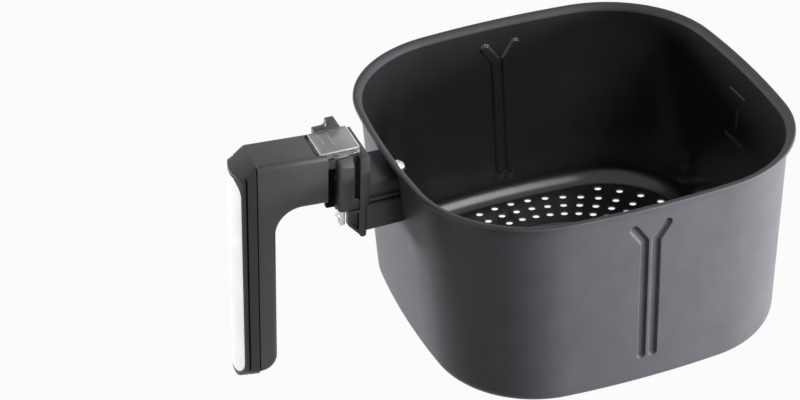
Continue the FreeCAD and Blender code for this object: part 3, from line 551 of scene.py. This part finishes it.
def rounded_profile(corners):
    """Round each (offset, z, radius, steps) corner of an open profile."""
    points = []
    for i, (d, z, radius, steps) in enumerate(corners):
        here = Vector((d, z))
        if radius == 0:
            points.append(here)
            continue
        back = (Vector(corners[i - 1][:2]) - here).normalized()
        ahead = (Vector(corners[i + 1][:2]) - here).normalized()
        half = back.angle(ahead) / 2
        middle = here + (back + ahead).normalized() * (radius / math.sin(half))
        start = here + back * (radius / math.tan(half)) - middle
        end = here + ahead * (radius / math.tan(half)) - middle
        sweep = start.angle_signed(end)
        for k in range(steps + 1):
            points.append(middle + Matrix.Rotation(-sweep * k / steps, 2) @ start)
    return points


def wall_inset(s, z):
    """Lip edge to the inside of the wall at a height."""
    lean = math.atan(s.taper / (s.height - s.lip_height))
    return s.lip_width + s.taper * (1 - z / (s.height - s.lip_height)) + s.wall / math.cos(lean)


def with_rows(points, heights):
    """Add points at the given heights to the long straight runs of the profile."""
    filled = [points[0]]
    for a, b in zip(points, points[1:]):
        inside = [z for z in heights if min(a.y, b.y) < z < max(a.y, b.y)]
        inside.sort(reverse=b.y < a.y)
        for z in inside:
            filled.append(a.lerp(b, (z - a.y) / (b.y - a.y)))
        filled.append(b)
    return filled


def inner_fillet(s):
    """Inside of the base fillet: points from the wall to the flat base."""
    reach = s.base_fillet - s.wall
    gap = s.lip_width + s.taper + s.wall - wall_inset(s, s.wall)
    points = []
    for i in range(FILLET_STEPS + 1):
        turn = math.pi / 2 * i / FILLET_STEPS
        z = s.wall + s.fillet_rise * (1 - math.sin(turn) ** FILLET_POWER)
        inset = wall_inset(s, z) + gap * i / FILLET_STEPS
        points.append(Vector((inset + reach * (1 - math.cos(turn) ** FILLET_POWER), z)))
    return points


def basket_profile(s):
    """Section of the wall from the base up the outside, over the lip and down the inside."""
    foot = s.lip_width + s.taper
    low_lip = s.height - s.lip_height
    lip = ((s.lip_width, low_lip), (0, low_lip), (0, s.height))
    corners = [(foot + s.base_fillet, 0, 0, 0), (foot, 0, s.base_fillet, BASE_STEPS)]
    corners += [(d, z, radius * MM, steps) for (d, z), (radius, steps) in zip(lip, LIP_ROUNDS)]
    corners += [
        (wall_inset(s, s.height), s.height, s.flare, RIM_STEPS),
        (wall_inset(s, s.wall), s.wall, 0, 0),
    ]
    rows = [(first + step * i) * MM for first, step, count in GUIDE_ROWS for i in range(count)]
    return with_rows(rounded_profile(corners)[:-1] + inner_fillet(s), rows)


class FRYBASKET_OT_wall(bpy.types.Operator):
    """Draw the coated wall with its rolled lip and the two pressed guides"""

    bl_idname = "fry_basket.wall"
    bl_label = "Basket wall"

    def execute(self, context):
        s = sizes()
        profile = basket_profile(s)
        top = max(range(len(profile)), key=lambda i: profile[i].y)
        columns = plan_columns(s, GUIDE_STEPS)
        bm = bmesh.new()
        rings = []
        for middle, radius, direction in columns:
            ring = []
            has_guide = abs(direction.x) > GUIDE_WALL and radius == s.side_radius
            for i, (d, z) in enumerate(profile):
                sink = 0.0
                reach = radius - d
                if has_guide and s.base_fillet < z < s.height - s.flare:
                    sink = guide_sink(s, reach * direction.y, z, direction.x < 0, i > top)
                place = middle + direction * (reach - sink)
                ring.append(bm.verts.new((place.x, place.y, z)))
            rings.append(ring)
        bridge(bm, rings, closed=True)
        mesh = mesh_of("basket_wall", bm, coat_outside())
        mesh.materials.append(coat_inside())
        mesh.materials.append(coat_rim_with_painted_shade())
        # Up each column: the outside coat, the rim's coat with its painted shade round the lip,
        # then the inside coat.
        outside, rim = top - RIM_BEFORE, RIM_BEFORE + RIM_STEPS + 1
        coats = [0] * outside + [2] * rim + [1] * (len(profile) - outside - rim)
        mesh.polygons.foreach_set("material_index", coats * len(columns))
        smooth(mesh, WALL_SHARP)
        settle(new_object("basket_wall", mesh), "basket", "coated_metal", "basket_shell")
        return {"FINISHED"}


def new_tree(name, **inputs):
    """Geometry node tree that takes and gives geometry; each extra input has a socket kind."""
    tree = bpy.data.node_groups.new(name, "GeometryNodeTree")
    for label, kind in (("Geometry", "Geometry"), *inputs.items()):
        tree.interface.new_socket(
            label.replace("_", " "), in_out="INPUT", socket_type="NodeSocket" + kind
        )
    tree.interface.new_socket("Geometry", in_out="OUTPUT", socket_type="NodeSocketGeometry")
    return tree, add_node(tree, "NodeGroupInput").outputs


def split_marked(tree, geometry, attribute):
    """Part the points that an attribute marks (Selection) from the rest (Inverted)."""
    marked = add_node(
        tree, "GeometryNodeInputNamedAttribute", {"Name": attribute}, data_type="BOOLEAN"
    )
    return add_node(tree, "GeometryNodeSeparateGeometry", {
        "Geometry": geometry, "Selection": marked.outputs["Attribute"],
    }, domain="POINT").outputs


def end_tree(tree, geometry, material):
    """End a tree with real geometry that carries its material."""
    real = add_node(tree, "GeometryNodeRealizeInstances", {"Geometry": geometry})
    dressed = add_node(tree, "GeometryNodeSetMaterial", {
        "Geometry": real.outputs["Geometry"], "Material": material,
    })
    add_node(tree, "NodeGroupOutput", {"Geometry": dressed.outputs["Geometry"]})
    return tree


def add_tree(obj, tree, **values):
    """Add a node tree to an object and set its named inputs by their identifiers."""
    modifier = obj.modifiers.new(tree.name, "NODES")
    modifier.node_group = tree
    known = {
        item.name: item.identifier for item in tree.interface.items_tree if item.in_out == "INPUT"
    }
    for name, value in values.items():
        modifier[known[name.replace("_", " ")]] = value


def seed_object(name, points, edges, loose, attribute):
    """Object of edges and loose points for a node tree; the attribute marks the loose points."""
    mesh = bpy.data.meshes.new(name)
    mesh.from_pydata([*points, *loose], edges, [])
    marks = mesh.attributes.new(attribute, "BOOLEAN", "POINT")
    marks.data.foreach_set("value", [False] * len(points) + [True] * len(loose))
    return new_object(name, mesh)


HOLE_RINGS = ((73.4, 52), (82.7, 52), (92.0, 52), (16.0, 8), (32.0, 16), (48.0, 24))   # mm, count
CORNER_RING = 102.6            # mm
CORNER_HOLES = 4
CORNER_STEP = 7.77             # degrees
RING_STEPS = 120               # steps round the pressed ring
BEAD_STEPS = 12                # steps across it
BEAD_POWER = 0.7               # below 1 its top is broader than a wave's


def hole_places():
    """Centres of the holes: whole rings, then a short arc in each corner."""
    polar = [(r, 360 * i / count) for r, count in HOLE_RINGS for i in range(count)]
    for quarter in range(4):
        for i in range(CORNER_HOLES):
            off = (i - (CORNER_HOLES - 1) / 2) * CORNER_STEP
            polar.append((CORNER_RING, 45 + 90 * quarter + off))
    places = []
    for r, degrees in polar:
        a = math.radians(degrees)
        places.append((r * MM * math.cos(a), r * MM * math.sin(a), 0))
    return places


def perforated_plate_tree():
    """Fill closed outlines, punch a hole at each marked point and give the plate thickness."""
    tree, given = new_tree(
        "perforated_plate", Hole_Diameter="Float", Hole_Sides="Int", Thickness="Float",
        Material="Material",
    )
    parts = split_marked(tree, given["Geometry"], "hole")
    radius = add_node(tree, "ShaderNodeMath", {
        0: given["Hole Diameter"], 1: 0.5,
    }, operation="MULTIPLY")
    circle = add_node(tree, "GeometryNodeCurvePrimitiveCircle", {
        "Radius": radius.outputs["Value"], "Resolution": given["Hole Sides"],
    }, mode="RADIUS")
    punched = add_node(tree, "GeometryNodeInstanceOnPoints", {
        "Points": parts["Selection"], "Instance": circle.outputs["Curve"],
    })
    holes = add_node(tree, "GeometryNodeRealizeInstances", {
        "Geometry": punched.outputs["Instances"],
    })
    outline = add_node(tree, "GeometryNodeMeshToCurve", {"Mesh": parts["Inverted"]})
    loops = add_node(tree, "GeometryNodeJoinGeometry", {
        "Geometry": [outline.outputs["Curve"], holes.outputs["Geometry"]],
    })
    sheet = add_node(tree, "GeometryNodeFillCurve", {
        "Curve": loops.outputs["Geometry"],
    }).outputs["Mesh"]
    lift = add_node(tree, "ShaderNodeCombineXYZ", {"Z": given["Thickness"]})
    raised = add_node(tree, "GeometryNodeExtrudeMesh", {
        "Mesh": sheet, "Offset": lift.outputs["Vector"], "Individual": False,
    }, mode="FACES")
    under = add_node(tree, "GeometryNodeFlipFaces", {"Mesh": sheet})
    both = add_node(tree, "GeometryNodeJoinGeometry", {
        "Geometry": [raised.outputs["Mesh"], under.outputs["Mesh"]],
    })
    closed = add_node(tree, "GeometryNodeMergeByDistance", {
        "Geometry": both.outputs["Geometry"], "Distance": WELD,
    })
    return end_tree(tree, closed.outputs["Geometry"], given["Material"])


def base_outline(s):
    """Closed loops of the flat base: its bowed square and both edges of the pressed ring."""
    flat = s.lip_width + s.taper + s.base_fillet
    columns = plan_columns(s, 0)
    loops = [[middle + direction * (radius - flat) for middle, radius, direction in columns]]
    turns = spread(0, math.tau, RING_STEPS)
    for edge in (s.bead_radius + s.bead_width / 2, s.bead_radius - s.bead_width / 2):
        loops.append([Vector((edge * math.cos(a), edge * math.sin(a))) for a in turns])
    return loops


def pressed_ring(bm, s):
    """Add the ring that is pressed up between the two flats of the base."""
    low = []
    for i in range(BEAD_STEPS + 1):
        share = i / BEAD_STEPS
        rise = s.bead_height * (0.5 - 0.5 * math.cos(math.tau * share)) ** BEAD_POWER
        low.append(Vector((s.bead_radius + s.bead_width * (share - 0.5), rise)))
    section = low + [p + Vector((0, s.wall)) for p in reversed(low)]
    rings = []
    for a in spread(0, math.tau, RING_STEPS):
        places = [(p.x * math.cos(a), p.x * math.sin(a), p.y) for p in section]
        rings.append([bm.verts.new(place) for place in places])
    bmesh.ops.recalc_face_normals(bm, faces=bridge(bm, rings, closed=True))


class FRYBASKET_OT_base(bpy.types.Operator):
    """Draw the perforated base with its pressed ring"""

    bl_idname = "fry_basket.base"
    bl_label = "Perforated base"

    def execute(self, context):
        s = sizes()
        points, edges = [], []
        for loop in base_outline(s):
            first, count = len(points), len(loop)
            points += [(p.x, p.y, 0) for p in loop]
            edges += [(first + i, first + (i + 1) % count) for i in range(count)]
        base = seed_object("basket_base", points, edges, hole_places(), "hole")
        add_tree(
            base, perforated_plate_tree(), Hole_Diameter=s.hole, Hole_Sides=s.hole_sides,
            Thickness=s.wall, Material=coat_inside(),
        )
        mesh = flatten_modifiers(base)
        bm = bmesh.new()
        bm.from_mesh(mesh)
        pressed_ring(bm, s)
        bm.to_mesh(mesh)
        bm.free()
        mesh.materials.clear()
        mesh.materials.append(coat_inside())
        mesh.polygons.foreach_set("material_index", [0] * len(mesh.polygons))
        smooth(mesh, BASE_SHARP)
        settle(base, "basket", "coated_metal", "basket_shell")
        return {"FINISHED"}


HANDLE_PLACE = (0.0, -127.869, 98.0)   # mm, reference point of the handle
# The sizes from here to STOP_SLOPE are in mm, and the places are from that point.
NOSE_HEIGHTS = (33.7, 36.6)    # foot and top of the guard's sloped nose
NOSE_START = -16.0
NOSE_FRONT = -22.5
NOSE_STEEPER = 1.9
SIDE_START = -9.5              # the far side of the guard lies beyond this
SIDE_HEIGHTS = (32.7, 36.6)
SIDE_WIDER = 1.2
LONG_EDGE = 10.0               # an edge of the guard's top is long above this
TOP_ROUND = 0.6
STOP_HEIGHTS = (33.9, 41.0)    # foot and top of the stop's slope
STOP_SIDE = -12.4              # the stop lies beyond this
STOP_BACK = (-5.4, -4.2)
STOP_SLOPE = 3.5

FLAT_TURN = math.radians(0.8)  # CAD triangles that turn less than this are one face
LEVEL = 0.97                   # a normal with a larger Z is upright, and with a larger X sideways
EDGE_TILT = 0.15               # the guard's rounded edge has normals with a larger Z
EDGE_DEPTH = 1.2               # mm from the guard's top to the foot of that edge
RECESS_FLOOR = 9.4             # mm from the middle to the floors of the neck's recesses
RECESS_NEAR = 0.3              # mm


def trimmed_guard(bm):
    """Stand the guard's nose steeper, lean its far side out and round its long top edges."""
    for vert in bm.verts:
        spot = vert.co / MM - Vector(HANDLE_PLACE)
        ahead = share_of(spot.y, NOSE_START, NOSE_FRONT + NOSE_STEEPER)
        vert.co.y -= NOSE_STEEPER * MM * ahead * share_of(spot.z, *NOSE_HEIGHTS)
        if spot.x < SIDE_START:
            vert.co.x -= SIDE_WIDER * MM * share_of(spot.z, *SIDE_HEIGHTS)
    top = max(vert.co.z for vert in bm.verts) - 10 * WELD
    long_edges = []
    for edge in bm.edges:
        a, b = (vert.co for vert in edge.verts)
        if min(a.z, b.z) > top and abs(a.y - b.y) > LONG_EDGE * MM:
            long_edges.append(edge)
    bmesh.ops.bevel(
        bm, geom=long_edges, offset=TOP_ROUND * MM, segments=BEVEL_STEPS, profile=0.5,
        affect="EDGES",
    )


def sloped_stop(bm):
    """The back of the rail's stop slopes down towards the basket."""
    low, high = STOP_HEIGHTS
    bmesh.ops.bisect_plane(
        bm, geom=[*bm.verts, *bm.edges, *bm.faces], dist=WELD,
        plane_co=(Vector(HANDLE_PLACE) + Vector((0, 0, low))) * MM, plane_no=(0, 0, 1),
    )
    for vert in bm.verts:
        spot = vert.co / MM - Vector(HANDLE_PLACE)
        if spot.x < STOP_SIDE and STOP_BACK[0] < spot.y < STOP_BACK[1]:
            vert.co.y += STOP_SLOPE * MM * share_of(spot.z, high, low)


RESHAPE = {"slide_guard": trimmed_guard, "neck_housing": sloped_stop}


class FRYBASKET_OT_mouldings(bpy.types.Operator):
    """Give each CAD node its finish, and draw the seen mouldings and fittings with soft edges"""

    bl_idname = "fry_basket.mouldings"
    bl_label = "Mouldings and fittings"

    def execute(self, context):
        for finish, names in FINISHED_NODES.items():
            for name in names:
                node = frame["nodes"][name]
                node.data.materials.clear()
                node.data.materials.append(finish())
                if name in SOFT_EDGES:
                    self.soften(name, finish)
        return {"FINISHED"}

    def frost(self, mesh, high):
        """Frost the top of the guard and give the rounded edge around it a painted highlight."""
        mesh.materials.append(frosted_moulding())
        mesh.materials.append(edge_painted_highlight())
        for face in mesh.polygons:
            if face.center.z > high - EDGE_DEPTH * MM and face.normal.z > EDGE_TILT:
                face.material_index = 1 if face.normal.z > LEVEL else 2

    def paint_recess_shade(self, mesh):
        """Paint shade on the floors of the neck's side recesses: a near-black, dull copy of the
        moulding.
        """
        mesh.materials.append(recess_painted_shade())
        for face in mesh.polygons:
            off = abs(abs(face.center.x) - RECESS_FLOOR * MM)
            if abs(face.normal.x) > LEVEL and off < RECESS_NEAR * MM:
                face.material_index = 1

    def soften(self, name, finish):
        bm = bmesh.new()
        bm.from_mesh(frame["nodes"][name].data)
        bmesh.ops.remove_doubles(bm, verts=bm.verts, dist=WELD)
        bmesh.ops.dissolve_limit(bm, angle_limit=FLAT_TURN, verts=bm.verts, edges=bm.edges)
        if name in RESHAPE:
            RESHAPE[name](bm)
        mesh = mesh_of(name + "_finish", bm, finish(), recalc=False)
        piece = new_object(name + "_finish", mesh)
        bevel(piece, SOFT_EDGES[name], FITTING_BEVEL)
        mesh = flatten_modifiers(piece)
        if name == "slide_guard":
            self.frost(mesh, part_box(name)[1][2])
        elif name == "neck_housing":
            self.paint_recess_shade(mesh)
        smooth(mesh, MOULDING_SHARP)
        settle(piece, body_of(name), SLOT_OF[finish], name)


HANDLE_LEAN = math.radians(-4.3)
PARTING_Y = -59.8              # mm, where the front shell meets the body of the grip
ARC_STEPS = 16
ARC_SHARE = 0.92               # share of the half width that the crowned arc covers
EDGE_SHARE = 0.97              # share of it where the front edge starts to turn
EDGE_TURN = (-0.1, 0.6)        # mm behind the front edge at the start and the end of that turn
GROOVE_START = 0.9             # mm behind the front edge
PARTING_CUT = 0.6              # length of the cut at the parting line, in groove widths
FOOT_STEPS = 9
TOP_STEPS = 4
TRIM_ROWS = 24
TRIM_END_ROWS = 9
TRIM_END_START = 0.35          # steps from the tip to an end's first row, so that it has width
TRIM_SUNK = 1.0                # mm
GRIP_SOFT = 0.3                # mm, width of the softened edges


def handle_frame():
    place = Matrix.Translation(Vector(HANDLE_PLACE) * MM)
    return place @ Matrix.Rotation(HANDLE_LEAN, 4, "X")


def crown_at(g, x):
    """How far the crowned front stands before its edges at a distance from the middle."""
    radius = (g.half ** 2 + g.crown ** 2) / (2 * g.crown)
    return g.crown - radius + math.sqrt(radius ** 2 - x ** 2)


class FRYBASKET_OT_grip_front(bpy.types.Operator):
    """Draw the polished front shell of the grip with its shadow lines, and the painted strip"""

    bl_idname = "fry_basket.grip_front"
    bl_label = "Grip front"

    def execute(self, context):
        g = grip()
        for name, build, finish in (
            ("front_shell", self.shell, gloss_moulding), ("trim_strip", self.trim, silver_paint),
        ):
            bm = bmesh.new()
            build(bm, g)
            bm.transform(handle_frame())
            piece = new_object(name + "_finish", mesh_of(name + "_finish", bm, finish()))
            bevel(piece, GRIP_SOFT, GRIP_BEVEL)
            smooth(flatten_modifiers(piece), MOULDING_SHARP)
            settle(piece, body_of(name), SLOT_OF[finish], name)
        return {"FINISHED"}

    def outline(self, g):
        """Section of the shell: (x, distance behind the front edge), or None on the crowned arc."""
        half, cut, start = g.half, g.groove, GROOVE_START * MM
        side = [(half * ARC_SHARE * i / ARC_STEPS, None) for i in range(ARC_STEPS + 1)]
        side += [
            (half * EDGE_SHARE, EDGE_TURN[0] * MM), (half, EDGE_TURN[1] * MM), (half, start),
            (half - cut, start + cut / 2), (half, start + cut),
            (half, g.depth - cut * PARTING_CUT), (half - cut, g.depth),
        ]
        return side + [(-x, behind) for x, behind in reversed(side[1:])]

    def shell(self, bm, g):
        edge_y = PARTING_Y * MM - g.depth
        stations = [("foot", math.pi / 2 * (1 - i / FOOT_STEPS)) for i in range(FOOT_STEPS + 1)]
        stations += [("top", math.pi / 2 * i / TOP_STEPS) for i in range(TOP_STEPS + 1)]
        rings = []
        for end, angle in stations:
            ring = []
            for x, behind in self.outline(g):
                back = max(0.0, behind or 0.0) / g.depth
                if end == "foot":
                    radius = g.foot_radius + (g.heel_radius - g.foot_radius) * back
                    z = -g.foot + g.foot_rise * back + radius * (1 - math.sin(angle))
                else:
                    radius = g.top_radius
                    z = g.top - g.top_slope * (1 - back) - radius * (1 - math.sin(angle))
                x *= 1 - radius * (1 - math.cos(angle)) / g.half
                y = edge_y - crown_at(g, x) if behind is None else edge_y + behind
                ring.append(bm.verts.new((x, y, z)))
            rings.append(ring)
        bridge_capped(bm, rings)

    def trim(self, bm, g):
        low, high = g.trim_foot - g.foot, g.top - g.trim_top
        bend = g.trim_radius
        span = high - low - 2 * bend
        ends = []
        for i in range(TRIM_END_ROWS):
            a = math.pi / 2 * (i + TRIM_END_START) / TRIM_END_ROWS
            ends.append((bend * (1 - math.cos(a)), g.trim_half - bend * (1 - math.sin(a))))
        rows = [(low + rise, half) for rise, half in ends]
        rows += [(low + bend + span * i / TRIM_ROWS, g.trim_half) for i in range(TRIM_ROWS + 1)]
        rows += [(high - rise, half) for rise, half in reversed(ends)]
        edge_y = PARTING_Y * MM - g.depth
        layers = []
        for off in (-g.trim_proud, TRIM_SUNK * MM):
            grid = []
            for z, half in rows:
                xs = [half * (2 * i / ARC_STEPS - 1) for i in range(ARC_STEPS + 1)]
                grid.append([bm.verts.new((x, edge_y - crown_at(g, x) + off, z)) for x in xs])
            layers.append(grid)
        for grid in layers:
            for a, b in zip(grid, grid[1:]):
                strip(bm, a, b)
        front, back = layers
        for end in (0, -1):
            strip(bm, front[end], back[end])
        for end in (0, -1):
            strip(bm, [row[end] for row in front], [row[end] for row in back])


# Places in mm on the guard's top.
GUARD_RIDGES = (((-9.2, -144.2), (0.9, -144.1)), ((-9.6, -139.0), (3.2, -138.8)))
GUARD_DOTS = ((3.3, -143.9), (6.2, -138.4), (2.6, -133.1))
RIDGE_RADIUS = 0.4             # mm
RIDGE_SIDES = 10
DOT_RADIUS = 0.8               # mm
DOT_STEPS = (12, 6)            # round and up a dot
DOT_FLAT = 0.45                # height of a dot as a share of a ball's
MARK_SUNK = 0.15               # mm


def raised_marks_tree():
    """Run a round ridge along each edge and set a low dome on each marked point."""
    tree, given = new_tree(
        "raised_marks", Ridge_Radius="Float", Dot_Radius="Float", Material="Material"
    )
    parts = split_marked(tree, given["Geometry"], "dot")
    dome = add_node(tree, "GeometryNodeMeshUVSphere", {
        "Segments": DOT_STEPS[0], "Rings": DOT_STEPS[1], "Radius": given["Dot Radius"],
    })
    dots = add_node(tree, "GeometryNodeInstanceOnPoints", {
        "Points": parts["Selection"], "Instance": dome.outputs["Mesh"],
        "Scale": (1.0, 1.0, DOT_FLAT),
    })
    path = add_node(tree, "GeometryNodeMeshToCurve", {"Mesh": parts["Inverted"]})
    section = add_node(tree, "GeometryNodeCurvePrimitiveCircle", {
        "Radius": given["Ridge Radius"], "Resolution": RIDGE_SIDES,
    }, mode="RADIUS")
    ridges = add_node(tree, "GeometryNodeCurveToMesh", {
        "Curve": path.outputs["Curve"], "Profile Curve": section.outputs["Curve"],
        "Fill Caps": True,
    })
    both = add_node(tree, "GeometryNodeJoinGeometry", {
        "Geometry": [dots.outputs["Instances"], ridges.outputs["Mesh"]],
    })
    return end_tree(tree, both.outputs["Geometry"], given["Material"])


class FRYBASKET_OT_guard_marks(bpy.types.Operator):
    """Raise the plain ridges and dots on top of the sliding guard"""

    bl_idname = "fry_basket.guard_marks"
    bl_label = "Guard marks"

    def execute(self, context):
        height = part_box("slide_guard")[1][2] - MARK_SUNK * MM
        ends = [(x * MM, y * MM, height) for ridge in GUARD_RIDGES for x, y in ridge]
        dots = [(x * MM, y * MM, height) for x, y in GUARD_DOTS]
        edges = [(2 * i, 2 * i + 1) for i in range(len(GUARD_RIDGES))]
        marks = seed_object("guard_marks", ends, edges, dots, "dot")
        add_tree(
            marks, raised_marks_tree(), Ridge_Radius=RIDGE_RADIUS * MM,
            Dot_Radius=DOT_RADIUS * MM, Material=frosted_moulding(),
        )
        smooth(flatten_modifiers(marks), MARK_SHARP)
        settle(marks, body_of("slide_guard"), "clear_plastic")
        return {"FINISHED"}


# Start and end (across, up) on the inside of the +Y wall, and width, in mm.
LEVEL_STROKES = (
    ((-10.0, 102.2), (7.6, 102.2), 1.0),
    ((0.1, 92.0), (0.1, 77.0), 1.3),
    ((-11.8, 71.0), (10.0, 71.0), 3.0),
)
STROKE_STEPS = 8
STROKE_PROUD = 0.45            # mm
STROKE_SUNK = 0.3              # mm
STROKE_SOFT = 0.25             # mm, width of the softened edges


class FRYBASKET_OT_level_mark(bpy.types.Operator):
    """Emboss a plain level mark on the inside of the wall across from the handle"""

    bl_idname = "fry_basket.level_mark"
    bl_label = "Level mark"

    def execute(self, context):
        s = sizes()
        bm = bmesh.new()
        for start, end, width in LEVEL_STROKES:
            self.stroke(bm, s, Vector(start) * MM, Vector(end) * MM, width * MM)
        mark = new_object("level_mark", mesh_of("level_mark", bm, coat_outside()))
        bevel(mark, STROKE_SOFT, MARK_BEVEL)
        smooth(flatten_modifiers(mark), MARK_SHARP)
        settle(mark, "basket", "coated_metal")
        return {"FINISHED"}

    def on_wall(self, s, x, z, off):
        radius = s.side_radius - wall_inset(s, z) - off
        return Vector((x, s.rim_half - s.side_radius + math.sqrt(radius * radius - x * x), z))

    def stroke(self, bm, s, start, end, width):
        along = (end - start).normalized()
        across = Vector((-along.y, along.x)) * (width / 2)
        section = ((1, -STROKE_SUNK), (1, STROKE_PROUD), (-1, STROKE_PROUD), (-1, -STROKE_SUNK))
        rings = []
        for i in range(STROKE_STEPS + 1):
            spot = start.lerp(end, i / STROKE_STEPS)
            ring = []
            for side, off in section:
                edge = spot + across * side
                ring.append(bm.verts.new(self.on_wall(s, edge.x, edge.y, off * MM)))
            rings.append(ring)
        bridge_capped(bm, rings)


CAMERA_PLACE = (947.62, -413.91, 737.22)   # mm
CAMERA_RIGHT = (0.34327, 0.93784, -0.05113)
CAMERA_UP = (-0.49888, 0.22819, 0.83609)
CAMERA_LENS = 96.73            # mm
CAMERA_FRAME = 36.0            # mm
CAMERA_CLIP = (0.05, 50.0)     # metres
# Place, target and size of each lamp in metres; its watts are the level of the same name.
LAMPS = {
    "right_lamp": ((0.70, 1.20, 0.19), (0, 0, 0.06), (0.8, 0.34)),
    "left_lamp": ((-0.80, -1.15, 0.19), (0, 0, 0.06), (0.5, 0.34)),
    "top_lamp": ((0.78, 0.45, 0.74), (-0.12, 0.45, 0), (0.20, 0.62)),
}
FLOOR_HALF = 6.0               # metres
FLOOR_Z = -0.0005              # metres
FLOOR_WHITE = 0.96             # share of the floor's own white where it is seen
WHITE = (1, 1, 1, 1)


def lamp(name, place, target, size):
    """Soft rectangular lamp that faces a point."""
    data = bpy.data.lights.new(name, "AREA")
    data.shape = "RECTANGLE"
    data.size, data.size_y = size
    data.energy = getattr(levels(), name)
    made = bpy.data.objects.new(name, data)
    made.location = place
    made.rotation_euler = (Vector(target) - Vector(place)).to_track_quat("-Z", "Y").to_euler()
    bpy.context.scene.collection.objects.link(made)


class FRYBASKET_OT_stage(bpy.types.Operator):
    """Set up the pale floor, the soft studio light and the camera"""

    bl_idname = "fry_basket.stage"
    bl_label = "Stage"

    def execute(self, context):
        scene = context.scene
        scene.view_settings.view_transform = "Standard"
        self.floor()
        self.surroundings(scene)
        for name, placing in LAMPS.items():
            lamp(name, *placing)
        self.camera(scene)
        return {"FINISHED"}

    def seen(self, tree):
        """1 for rays that show the background: straight, reflected or through a clear piece."""
        path = add_node(tree, "ShaderNodeLightPath").outputs
        mirrored = add_node(tree, "ShaderNodeMath", {
            0: path["Is Camera Ray"], 1: path["Is Glossy Ray"],
        }, operation="MAXIMUM").outputs["Value"]
        return add_node(tree, "ShaderNodeMath", {
            0: mirrored, 1: path["Is Transmission Ray"],
        }, operation="MAXIMUM").outputs["Value"]

    def floor(self):
        bm = bmesh.new()
        bmesh.ops.create_grid(bm, x_segments=1, y_segments=1, size=FLOOR_HALF)
        # Matt white paper: its own white where it is seen, with the object's soft shadow kept.
        material = bpy.data.materials.new("Paper_matt_white")
        tree = empty_tree(material)
        matt = add_node(tree, "ShaderNodeBsdfDiffuse", {"Color": colours().floor})
        glow = add_node(tree, "ShaderNodeEmission", {"Color": WHITE, "Strength": 1.0})
        share = add_node(tree, "ShaderNodeMath", {
            0: self.seen(tree), 1: FLOOR_WHITE,
        }, operation="MULTIPLY")
        mixed = add_node(tree, "ShaderNodeMixShader", {
            0: share.outputs["Value"], 1: matt.outputs["BSDF"], 2: glow.outputs["Emission"],
        })
        add_node(tree, "ShaderNodeOutputMaterial", {"Surface": mixed.outputs["Shader"]})
        floor = new_object("floor", mesh_of("floor", bm, material, recalc=False))
        floor.location.z = FLOOR_Z

    def surroundings(self, scene):
        world = bpy.data.worlds.new("studio")
        scene.world = world
        tree = empty_tree(world)
        strength = add_node(tree, "ShaderNodeMapRange", {
            "Value": self.seen(tree), "To Min": levels().sky, "To Max": 1.0,
        })
        sky = add_node(tree, "ShaderNodeBackground", {
            "Color": WHITE, "Strength": strength.outputs["Result"],
        })
        add_node(tree, "ShaderNodeOutputWorld", {"Surface": sky.outputs["Background"]})

    def camera(self, scene):
        data = bpy.data.cameras.new("camera")
        data.sensor_width = CAMERA_FRAME
        data.sensor_fit = "HORIZONTAL"
        data.lens = CAMERA_LENS
        data.clip_start, data.clip_end = CAMERA_CLIP
        camera = bpy.data.objects.new("camera", data)
        right, up = Vector(CAMERA_RIGHT).normalized(), Vector(CAMERA_UP).normalized()
        turn = Matrix((right, up, right.cross(up))).transposed().to_4x4()
        camera.matrix_world = Matrix.Translation(Vector(CAMERA_PLACE) * MM) @ turn
        scene.collection.objects.link(camera)
        scene.camera = camera


class FRYBASKET_PT_panel(bpy.types.Panel):
    """Sizes, colours and steps of the fry basket"""

    bl_idname = "FRYBASKET_PT_panel"
    bl_label = "Fry Basket"
    bl_space_type = "VIEW_3D"
    bl_region_type = "UI"
    bl_category = "Fry Basket"

    def draw(self, context):
        column = self.layout.column()
        for step in STEPS:
            column.operator(step.bl_idname)
        for name, group in SETTINGS.items():
            for key in group.__annotations__:
                column.prop(getattr(context.scene, name), key)


STEPS = (
    FRYBASKET_OT_wall, FRYBASKET_OT_base, FRYBASKET_OT_level_mark, FRYBASKET_OT_mouldings,
    FRYBASKET_OT_grip_front, FRYBASKET_OT_guard_marks, FRYBASKET_OT_stage,
)
SETTINGS = {
    "fry_basket_sizes": BasketSizes, "fry_basket_grip": GripSizes,
    "fry_basket_colours": FinishColours, "fry_basket_levels": StageLevels,
}
CLASSES = (*SETTINGS.values(), *STEPS, FRYBASKET_PT_panel)


def register():
    for cls in CLASSES:
        bpy.utils.register_class(cls)
    for name, group in SETTINGS.items():
        setattr(bpy.types.Scene, name, PointerProperty(type=group))


def unregister():
    for name in reversed(SETTINGS):
        delattr(bpy.types.Scene, name)
    for cls in reversed(CLASSES):
        bpy.utils.unregister_class(cls)


def main():
    register()
    bpy.ops.fry_basket.wall()
    bpy.ops.fry_basket.base()
    bpy.ops.fry_basket.level_mark()
    bpy.ops.fry_basket.mouldings()
    bpy.ops.fry_basket.grip_front()
    bpy.ops.fry_basket.guard_marks()
    bpy.ops.fry_basket.stage()


if __name__ == "__main__":
    main()
